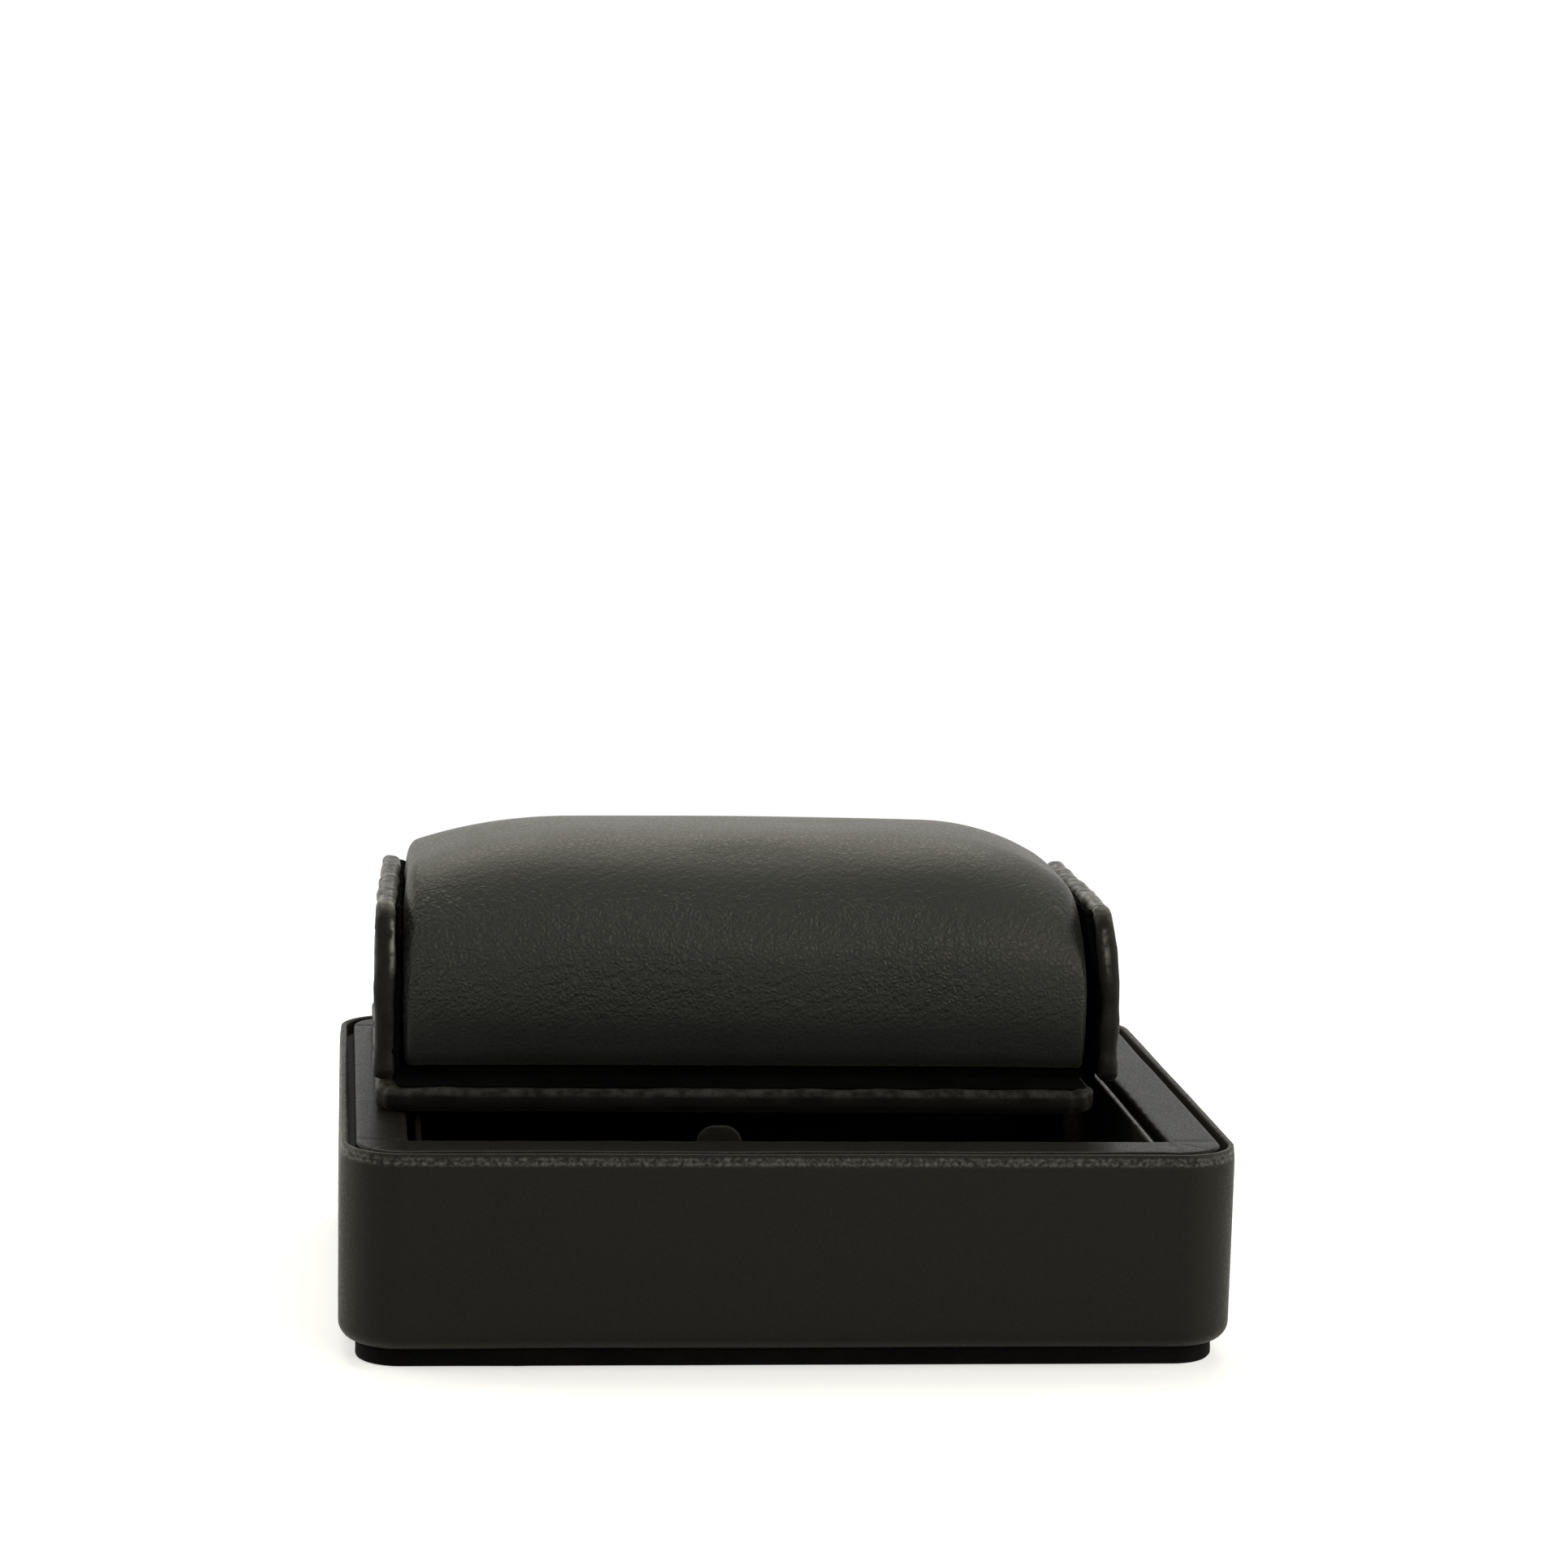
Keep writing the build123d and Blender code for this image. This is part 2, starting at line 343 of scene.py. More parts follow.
@dataclass(frozen=True)
class Finish:
    """What every finish has: a name, its record slot, its colour and its roughness."""

    title: str
    slot: Slot
    colour: Colour
    roughness: float

    def wire(self, net: Net, shader: bpy.types.Node) -> None:
        """Feeds the shader's sockets. Each kind of finish has its own.

        Args:
            net: the material's nodes.
            shader: its Principled shader.
        """
        raise NotImplementedError

    def material(self) -> bpy.types.Material:
        """Finds or builds the material.

        Returns:
            The material, which every piece of this finish shares.
        """
        found = bpy.data.materials.get(self.title)
        if found:
            return found
        material = bpy.data.materials.new(self.title)
        material.use_nodes = True
        material.node_tree.nodes.clear()
        net = Net(material.node_tree)
        shader = net.add("BsdfPrincipled", {"Base Color": (*self.colour, 1.0), "Roughness": self.roughness})
        self.wire(net, shader)
        net.add("OutputMaterial", {"Surface": shader.outputs[0]})
        return material


@dataclass(frozen=True)
class Leather(Finish):
    """Dyed leather with grain, slow tone changes, and edges lightened as scuffing and as painted highlight.
    """

    cell: float = 1.0 * MM
    depth: float = 0.03 * MM
    crease: float = 0.4
    rub_and_highlight: float = 0.4
    rub_and_highlight_colour: Colour = (0.05, 0.047, 0.042)
    drift: float = 0.18
    index: float = 1.42
    sheen: float = 0.04
    shine: Colour = WARM_SHINE
    eased: float = 0.0
    grit: float = 1.5 * MM

    def wire(self, net: Net, shader: bpy.types.Node) -> None:
        """Wires the leather. rub_and_highlight_colour is blended in where the mesh's wear_and_highlight mark
        lies: scuffed edges, and painted highlight where a piece is marked for it. Where a piece has no
        wear_and_highlight mark, its grain is flatter, by the share that eased gives.

        Args:
            net: the material's nodes.
            shader: its Principled shader.
        """
        grain = LeatherGrain().place(net, Cell=self.cell, Crease=self.crease)
        tone = ToneDrift().place(net, Size=14 * MM, Amount=self.drift)["Factor"]
        rub_and_highlight = EdgeRubAndHighlight().place(net, Amount=self.rub_and_highlight, Grit=self.grit)["Mask"]
        dyed = net.blend(tone, (0.0, 0.0, 0.0, 1.0), (*self.colour, 1.0))
        hollow = net.math("MULTIPLY", grain["Hollow"], 0.35)
        shaded = net.blend(hollow, dyed, tuple(0.55 * c for c in self.colour) + (1.0,))
        rubbed_and_highlit = net.blend(rub_and_highlight, shaded, (*self.rub_and_highlight_colour, 1.0))
        rough = net.math("MULTIPLY_ADD", grain["Hollow"], 0.12, self.roughness)
        rough = net.math("MULTIPLY", rough, tone)
        rough = net.math("MULTIPLY_ADD", rub_and_highlight, -0.12, rough)
        wear_and_highlight = net.add("Attribute", attribute_name="wear_and_highlight").outputs["Fac"]
        raised = net.math("MULTIPLY_ADD", wear_and_highlight, self.eased, 1.0 - self.eased)
        height = net.math("MULTIPLY", grain["Height"], raised)
        bump = net.add("Bump", {"Height": height, "Distance": self.depth, "Strength": 1.0})
        net.feed(shader, {
            "IOR": self.index, "Specular Tint": (*self.shine, 1.0), "Sheen Weight": self.sheen,
            "Sheen Roughness": 0.45, "Sheen Tint": (*WARM_DUST, 1.0),
            "Base Color": rubbed_and_highlit, "Roughness": rough, "Normal": bump.outputs[0]})


@dataclass(frozen=True)
class Pile(Finish):
    """Suede or felt, with a brushed pile and a soft sheen."""

    size: float = 0.5 * MM
    depth: float = 0.12 * MM
    brush: float = 1.0
    sheen: float = 0.3
    gloss: float = 0.15

    def wire(self, net: Net, shader: bpy.types.Node) -> None:
        """Wires the pile.

        Args:
            net: the material's nodes.
            shader: its Principled shader.
        """
        nap = Nap().place(net, Size=self.size, Brush=self.brush)
        dark = tuple(0.4 * c for c in self.colour) + (1.0,)
        light = tuple(2.0 * c for c in self.colour) + (1.0,)
        colour = net.blend(net.ramp(nap["Shade"], 0.25, 0.8), dark, light)
        bump = net.add("Bump", {"Height": nap["Height"], "Distance": self.depth, "Strength": 1.0})
        net.feed(shader, {
            "Sheen Weight": self.sheen, "Sheen Roughness": 0.4, "Specular IOR Level": self.gloss,
            "Base Color": colour, "Normal": bump.outputs[0]})


@dataclass(frozen=True)
class Board(Finish):
    """Fibre board, card or foam, mostly hidden inside the coverings."""

    size: float = 0.6 * MM
    depth: float = 0.08 * MM
    contrast: float = 0.35

    def wire(self, net: Net, shader: bpy.types.Node) -> None:
        """Wires the board.

        Args:
            net: the material's nodes.
            shader: its Principled shader.
        """
        fibre = Fibre().place(net, Size=self.size)
        dark = tuple((1 - self.contrast) * c for c in self.colour) + (1.0,)
        light = tuple(min(1.0, (1 + self.contrast) * c) for c in self.colour) + (1.0,)
        colour = net.blend(net.ramp(fibre["Shade"], 0.3, 0.7), dark, light)
        bump = net.add("Bump", {"Height": fibre["Height"], "Distance": self.depth, "Strength": 1.0})
        net.feed(shader, {"Base Color": colour, "Normal": bump.outputs[0]})


PILLOW_LEATHER = Leather("Pillow leather", Slot.SMOOTH_LEATHER, (0.0145, 0.0166, 0.0165), 0.37,
                         cell=0.8 * MM, depth=0.13 * MM, crease=0.6, rub_and_highlight=0.0, index=1.32, sheen=0.07,
                         shine=(1.0, 0.945, 0.8), eased=0.8)
# Its rub_and_highlight_colour paints highlight on the lip's crimp crests and on the lip's top along the
# sides.
WALL_LEATHER = Leather("Wall leather", Slot.SMOOTH_LEATHER, (0.0073, 0.007, 0.0058), 0.45, cell=0.7 * MM,
                       depth=0.01 * MM, crease=0.3, rub_and_highlight=1.0, rub_and_highlight_colour=(0.098, 0.099, 0.092), index=1.21,
                       grit=0.55 * MM)
# Its rub_and_highlight_colour paints highlight along the ears' tops and down their front beads, and a faint
# scuff on their other edges.
STAND_LEATHER = Leather("Stand leather", Slot.SMOOTH_LEATHER, (0.0055, 0.0053, 0.0047), 0.4,
                        cell=0.8 * MM, depth=0.02 * MM, crease=0.7, rub_and_highlight=1.0,
                        rub_and_highlight_colour=(0.2, 0.194, 0.172), index=1.2, sheen=0.03)
# Painted shade: a slightly darker, less glossy copy of the ear leather, for the plate's front in shade; its
# rub_and_highlight_colour paints highlight on the plate's top rim and left end.
PLATE_LEATHER = Leather("Plate leather", Slot.SMOOTH_LEATHER, (0.005, 0.0048, 0.0042), 0.42,
                        cell=0.8 * MM, depth=0.02 * MM, crease=0.7, rub_and_highlight=1.0,
                        rub_and_highlight_colour=(0.034, 0.033, 0.03), index=1.14)
LEDGE_LEATHER = Leather("Ledge leather", Slot.LEDGE_LEATHER, (0.0028, 0.0026, 0.0022), 0.29,
                        cell=0.6 * MM, depth=0.008 * MM, crease=0.3, rub_and_highlight=0.2, index=1.15, sheen=0.01,
                        shine=(1.0, 0.93, 0.84))
# Painted light on the liner walls: the right wall's leather lightens its top edge as painted highlight, and
# the other walls get a darker, duller copy of it as painted shade.
HIGHLIT_LINER = Leather("Highlit liner leather", Slot.LEDGE_LEATHER, (0.007, 0.0067, 0.0058), 0.3,
                        cell=0.6 * MM, depth=0.005 * MM, rub_and_highlight=1.0, rub_and_highlight_colour=(0.11, 0.105, 0.095), index=1.2)
SHADED_LINER = Leather("Shaded liner leather", Slot.LEDGE_LEATHER, (0.004, 0.0038, 0.0034), 0.8,
                      cell=0.6 * MM, depth=0.01 * MM, rub_and_highlight=0.0, index=1.08, sheen=0.0)
TAB_LEATHER = Leather("Tab leather", Slot.TAB_LEATHER, (0.01, 0.0096, 0.0085), 0.6,
                      cell=0.5 * MM, depth=0.02 * MM, rub_and_highlight=0.05, index=1.15)
SUEDE = Pile("Black suede", Slot.SUEDE, (0.0012, 0.0012, 0.001), 0.95, sheen=0.0, gloss=0.02)
FELT = Pile("Black felt", Slot.FELT, (0.002, 0.0018, 0.0015), 0.98, size=0.8 * MM, depth=0.2 * MM,
            sheen=0.03, gloss=0.08)
# Painted shade: the wall boards are black so that their tops, at the bottom of the groove under the lip,
# read as the groove's shade.
GROOVE_SHADE_BOARD = Board("Black board, painted groove shade", Slot.BOARD, (0.004, 0.004, 0.004), 0.9)
FIBRE_BOARD = Board("Fibre board", Slot.BOARD, (0.3, 0.23, 0.16), 0.85)
CARD = Board("Black card", Slot.CARD, (0.02, 0.02, 0.019), 0.8, size=0.4 * MM, depth=0.04 * MM)
FOAM = Board("Foam", Slot.FOAM, (0.6, 0.6, 0.56), 0.9, size=0.9 * MM, depth=0.3 * MM, contrast=0.2)
THREAD = Pile("Black thread", Slot.SMOOTH_LEATHER, (0.01, 0.01, 0.009), 0.6, size=0.25 * MM, depth=0.05 * MM)


class Skin:
    """Collects the points and faces of one closed skin."""

    def __init__(self) -> None:
        """Starts an empty skin."""
        self.blocks: list[np.ndarray] = []
        self.faces: list[list[int]] = []
        self.wear_and_highlight: list[np.ndarray] = []
        self.count = 0

    def points(self, block: np.ndarray, wear_and_highlight: float | np.ndarray = 0.0) -> np.ndarray:
        """Adds points.

        Args:
            block: an array of points, whose last axis holds X, Y and Z.
            wear_and_highlight: their mark for scuffed edges and painted highlight, from 0 to 1, one value or
                one for each point.

        Returns:
            Their numbers, as an array of the block's shape without its last axis.
        """
        shape = block.shape[:-1]
        number = int(np.prod(shape))
        self.blocks.append(block.reshape(-1, 3))
        self.wear_and_highlight.append(np.broadcast_to(wear_and_highlight, shape).reshape(-1))
        index = np.arange(self.count, self.count + number).reshape(shape)
        self.count += number
        return index

    def quads(self, index: np.ndarray, ring: bool = False, loop: bool = False) -> None:
        """Adds the quads of a grid of points.

        Args:
            index: the grid's point numbers, in rows.
            ring: joins each row's end to its start.
            loop: joins the last row to the first.
        """
        if ring:
            index = np.concatenate([index, index[:, :1]], axis=1)
        if loop:
            index = np.concatenate([index, index[:1]], axis=0)
        corners = (index[:-1, :-1], index[:-1, 1:], index[1:, 1:], index[1:, :-1])
        self.faces.extend(np.stack(corners, -1).reshape(-1, 4).tolist())

    def cap(self, loop: np.ndarray) -> None:
        """Closes a loop of points with one face."""
        self.faces.append(loop.tolist())

    def object(self, name: str) -> bpy.types.Object:
        """Makes a smooth-shaded object with outward faces.

        Args:
            name: the object's name.

        Returns:
            The object, in the scene.
        """
        mesh = bpy.data.meshes.new(name)
        mesh.from_pydata(np.concatenate(self.blocks).tolist(), [], self.faces)
        wear_and_highlight = mesh.attributes.new("wear_and_highlight", "FLOAT", "POINT")
        wear_and_highlight.data.foreach_set("value", np.concatenate(self.wear_and_highlight).astype(np.float32))
        work = bmesh.new()
        work.from_mesh(mesh)
        bmesh.ops.recalc_face_normals(work, faces=work.faces)
        work.to_mesh(mesh)
        work.free()
        mesh.polygons.foreach_set("use_smooth", np.ones(len(mesh.polygons), bool))
        piece = bpy.data.objects.new(name, mesh)
        bpy.context.scene.collection.objects.link(piece)
        return piece


def points_of(piece: bpy.types.Object) -> np.ndarray:
    """Reads a piece's points.

    Args:
        piece: the piece to read.

    Returns:
        Its points, one row each.
    """
    points = np.empty(len(piece.data.vertices) * 3, np.float32)
    piece.data.vertices.foreach_get("co", points)
    return points.reshape(-1, 3).astype(float)


def set_points(piece: bpy.types.Object, points: np.ndarray) -> None:
    """Moves a piece's points to the given places."""
    piece.data.vertices.foreach_set("co", points.astype(np.float32).ravel())
    piece.data.update()


def normals_of(piece: bpy.types.Object) -> np.ndarray:
    """Reads the normals at a piece's points.

    Args:
        piece: the piece to read.

    Returns:
        The normals, one row each.
    """
    normals = np.empty(len(piece.data.vertices) * 3, np.float32)
    piece.data.vertex_normals.foreach_get("vector", normals)
    return normals.reshape(-1, 3).astype(float)


def push(piece: bpy.types.Object, shift: Shift) -> None:
    """Moves each point of a piece along its normal.

    Args:
        piece: the piece to change.
        shift: gives the distances, from the points and their normals.
    """
    points, normals = points_of(piece), normals_of(piece)
    set_points(piece, points + normals * shift(points, normals)[:, None])


def scale_wear_and_highlight(piece: bpy.types.Object, factor: np.ndarray) -> None:
    """Multiplies the wear_and_highlight mark that a piece's mesh carries.

    Args:
        piece: the piece to change.
        factor: a factor for each point.
    """
    data = piece.data.attributes["wear_and_highlight"].data
    wear_and_highlight = np.empty(len(data), np.float32)
    data.foreach_get("value", wear_and_highlight)
    data.foreach_set("value", (wear_and_highlight * factor).astype(np.float32))


def drift(points: np.ndarray, size: float, seed: int, waves: int = 16) -> np.ndarray:
    """Smooth wandering field with values mostly between -1 and 1.

    Args:
        points: where it is read.
        size: about how long its bumps are.
        seed: picks one of many fields.
        waves: how many plane waves are added up.

    Returns:
        One value for each point.
    """
    rng = np.random.default_rng(seed)
    ways = rng.normal(size=(waves, points.shape[-1]))
    ways /= np.linalg.norm(ways, axis=1)[:, None]
    lengths = size * rng.uniform(1.2, 2.8, waves)
    phases = rng.uniform(0, 2 * np.pi, waves)
    angles = points @ (ways * (2 * np.pi / lengths)[:, None]).T + phases
    return np.sin(angles).sum(-1) / math.sqrt(2 * waves)


def smooth(value: np.ndarray, low: float, high: float) -> np.ndarray:
    """Rises smoothly from 0 at low to 1 at high."""
    t = np.clip((value - low) / (high - low), 0, 1)
    return t * t * (3 - 2 * t)


def stations(length: float, step: float, zone: float, zone_step: float) -> np.ndarray:
    """Places along a centred length, closer together near both ends.

    Args:
        length: the whole length.
        step: the spacing in the middle.
        zone: how far the close spacing reaches from each end.
        zone_step: the close spacing.

    Returns:
        The places, from minus half the length to plus half.
    """
    near = np.linspace(0, zone, max(2, math.ceil(zone / zone_step)) + 1)
    middle = np.linspace(zone, length - zone, max(1, round((length - 2 * zone) / step)) + 1)
    return np.concatenate([near[:-1], middle, (length - near)[::-1][1:]]) - length / 2


def arc(centre: tuple[float, float], radius: float, start: float, end: float, count: int) -> list:
    """Points of an arc.

    Args:
        centre: its centre.
        radius: its radius.
        start: its first angle in degrees.
        end: its last angle in degrees.
        count: how many points it has.

    Returns:
        A list of (x, y) points.
    """
    angles = np.radians(np.linspace(start, end, count))
    return [(centre[0] + radius * math.cos(a), centre[1] + radius * math.sin(a)) for a in angles]


@dataclass(frozen=True)
class Slab:
    """Slab with a rounded outline and rolled edges, centred, with its thickness along its third axis."""

    width: float
    height: float
    thickness: float
    corners: tuple[float, float, float, float]
    roll: float
    step: float
    roll_steps: int = 4

    def sheet(self, inset: float) -> tuple[np.ndarray, np.ndarray]:
        """Grid of points over the outline, and how each lies from the outline's core.

        Args:
            inset: how far the outline is drawn in.

        Returns:
            The grid's points in two axes, and outward directions, which matter at its border.
        """
        width, height = self.width - 2 * inset, self.height - 2 * inset
        zone = max(max(self.corners) - inset, 2 * self.step)
        zone = min(zone, width / 2.2, height / 2.2)
        across = stations(width, self.step, zone, self.step / 2)
        along = stations(height, self.step, zone, self.step / 2)
        x, y = np.meshgrid(across, along)
        core_x, core_y = x.copy(), y.copy()
        signs = ((-1, -1), (1, -1), (1, 1), (-1, 1))
        for (sign_x, sign_y), corner in zip(signs, self.corners):
            radius = max(corner - inset, 0.15 * MM)
            limit_x, limit_y = width / 2 - radius, height / 2 - radius
            here = (np.sign(x) == sign_x) & (np.sign(y) == sign_y)
            core_x = np.where(here, sign_x * np.minimum(abs(x), limit_x), core_x)
            core_y = np.where(here, sign_y * np.minimum(abs(y), limit_y), core_y)
            u, v = (x * sign_x - limit_x) / radius, (y * sign_y - limit_y) / radius
            inside = here & (u > 0) & (v > 0)
            round_x = sign_x * (limit_x + radius * u * np.sqrt(np.maximum(1 - v * v / 2, 0)))
            round_y = sign_y * (limit_y + radius * v * np.sqrt(np.maximum(1 - u * u / 2, 0)))
            x, y = np.where(inside, round_x, x), np.where(inside, round_y, y)
        core_x = np.clip(core_x, -width / 2 + 0.15 * MM, width / 2 - 0.15 * MM)
        core_y = np.clip(core_y, -height / 2 + 0.15 * MM, height / 2 - 0.15 * MM)
        outward = np.stack([x - core_x, y - core_y], -1)
        return np.stack([x, y], -1), outward

    def skin(self) -> Skin:
        """Closed skin of the slab.

        Returns:
            The skin, in the slab's own axes.
        """
        plan, outward = self.sheet(self.roll)
        rows, columns = plan.shape[:2]
        number = np.arange(rows * columns).reshape(rows, columns)
        border = np.concatenate([number[0, :-1], number[:-1, -1], number[-1, :0:-1], number[:0:-1, 0]])
        rim = plan.reshape(-1, 2)[border]
        way = outward.reshape(-1, 2)[border]
        way = way / np.maximum(np.linalg.norm(way, axis=1), 1e-9)[:, None]
        top = self.thickness / 2
        angles = np.linspace(0, np.pi / 2, self.roll_steps + 1)
        levels = [(self.roll * math.sin(a), top - self.roll * (1 - math.cos(a))) for a in angles[1:]]
        straight = self.thickness - 2 * self.roll
        for share in np.linspace(0, 1, max(1, round(straight / self.step)) + 1)[1:-1]:
            levels.append((self.roll, top - self.roll - straight * share))
        levels += [(out, -height) for out, height in reversed(levels[: self.roll_steps])]
        skin = Skin()
        depth = np.full(plan.shape[:2] + (1,), top)
        upper = skin.points(np.concatenate([plan, depth], -1))
        skin.quads(upper)
        loops = [upper.reshape(-1)[border]]
        for out, height in levels:
            ring = np.column_stack([rim + way * out, np.full(len(rim), height)])
            wear_and_highlight = 1.0 if out < self.roll * 0.99 else 0.5
            loops.append(skin.points(ring, wear_and_highlight))
        lower = np.empty(plan.shape[:2], int)
        inner = np.concatenate([plan, -depth], -1)[1:-1, 1:-1]
        lower[1:-1, 1:-1] = skin.points(inner)
        last = skin.points(np.column_stack([rim, np.full(len(rim), -top)]), 0.5)
        loops.append(last)
        lower.reshape(-1)[border] = last
        skin.quads(np.array(loops), ring=True)
        skin.quads(lower)
        return skin


class Lie(Enum):
    """How a slab lies: the numbers of the axes that its width, height and thickness follow."""

    FLAT = (0, 1, 2)
    FACES_FRONT = (0, 2, 1)
    FACES_SIDE = (1, 2, 0)


def boxed_slab(name: str, low: Vector, high: Vector, lie: Lie, corners: tuple[float, float, float, float],
               roll: float, step: float, roll_steps: int = 4) -> bpy.types.Object:
    """Makes a slab that fills a box.

    Args:
        name: the piece's name.
        low: the box's lowest corner.
        high: its highest corner.
        lie: how the slab lies.
        corners: the radii of its outline's corners.
        roll: the radius of its rolled edges.
        step: the spacing of its points.
        roll_steps: how many steps a rolled edge has.

    Returns:
        The new piece.
    """
    width, height, thickness = (high[k] - low[k] for k in lie.value)
    piece = Slab(width, height, thickness, corners, roll, step, roll_steps).skin().object(name)
    across, upward = (Vector(np.eye(3)[k]) for k in lie.value[:2])
    turn = Matrix((across, upward, across.cross(upward))).transposed().to_4x4()
    piece.data.transform(Matrix.Translation((low + high) / 2) @ turn)
    return piece


@dataclass(frozen=True)
class RoundedPath:
    """Closed path round a rounded rectangle, with an outward direction at each place."""

    half_x: float
    half_y: float
    radius: float
    step: float
    corner_steps: int = 24

    def trace(self) -> tuple[np.ndarray, np.ndarray, np.ndarray, np.ndarray]:
        """Walks the path.

        Returns:
            Its points, their outward directions, the distance along it, and how straight it is there.
        """
        points, ways, straight = [], [], []
        reach_x, reach_y = self.half_x - self.radius, self.half_y - self.radius
        for quarter in range(4):
            sign_x, sign_y = ((1, -1), (1, 1), (-1, 1), (-1, -1))[quarter]
            start = -math.pi / 2 + quarter * math.pi / 2
            centre = np.array([sign_x * reach_x, sign_y * reach_y])
            for share in np.linspace(0, 1, self.corner_steps, endpoint=False):
                angle = start + share * math.pi / 2
                way = np.array([math.cos(angle), math.sin(angle)])
                points.append(centre + self.radius * way)
                ways.append(way)
                straight.append(0.0)
            way = np.array([math.cos(start + math.pi / 2), math.sin(start + math.pi / 2)])
            along = np.array([-way[1], way[0]])
            length = 2 * (reach_y if quarter % 2 == 0 else reach_x)
            first = centre + self.radius * way
            count = max(2, round(length / self.step))
            for share in np.linspace(0, 1, count, endpoint=False):
                points.append(first + along * length * share)
                ways.append(way)
                gap = min(share, 1 - share) * length
                straight.append(float(smooth(np.array(gap), 0, 5 * MM)))
        points, ways = np.array(points), np.array(ways)
        steps = np.linalg.norm(np.diff(points, axis=0, append=points[:1]), axis=1)
        along = np.concatenate([[0], np.cumsum(steps)[:-1]])
        return points, ways, along, np.array(straight)


def finish_piece(piece: bpy.types.Object, finish: Finish, body: Body, *nodes: str) -> bpy.types.Object:
    """Gives a piece its material and body, and hides the CAD nodes that it stands for.

    Args:
        piece: the new piece.
        finish: its finish.
        body: the body that it rides on.
        nodes: the CAD nodes that it replaces.

    Returns:
        The piece.
    """
    piece.data.materials.clear()
    piece.data.materials.append(finish.material())
    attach(piece, body.value)
    if nodes:
        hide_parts(*nodes)
    log.info("%s: %d faces, %s", piece.name, len(piece.data.polygons), finish.title)
    return piece


def dress_node(node: str, finish: Finish) -> None:
    """Gives a CAD node that stays a finish.

    Args:
        node: the node's name.
        finish: its finish.
    """
    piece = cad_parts[node]
    piece.data.materials.clear()
    piece.data.materials.append(finish.material())
    log.info("%s keeps its CAD shape, %s", node, finish.title)


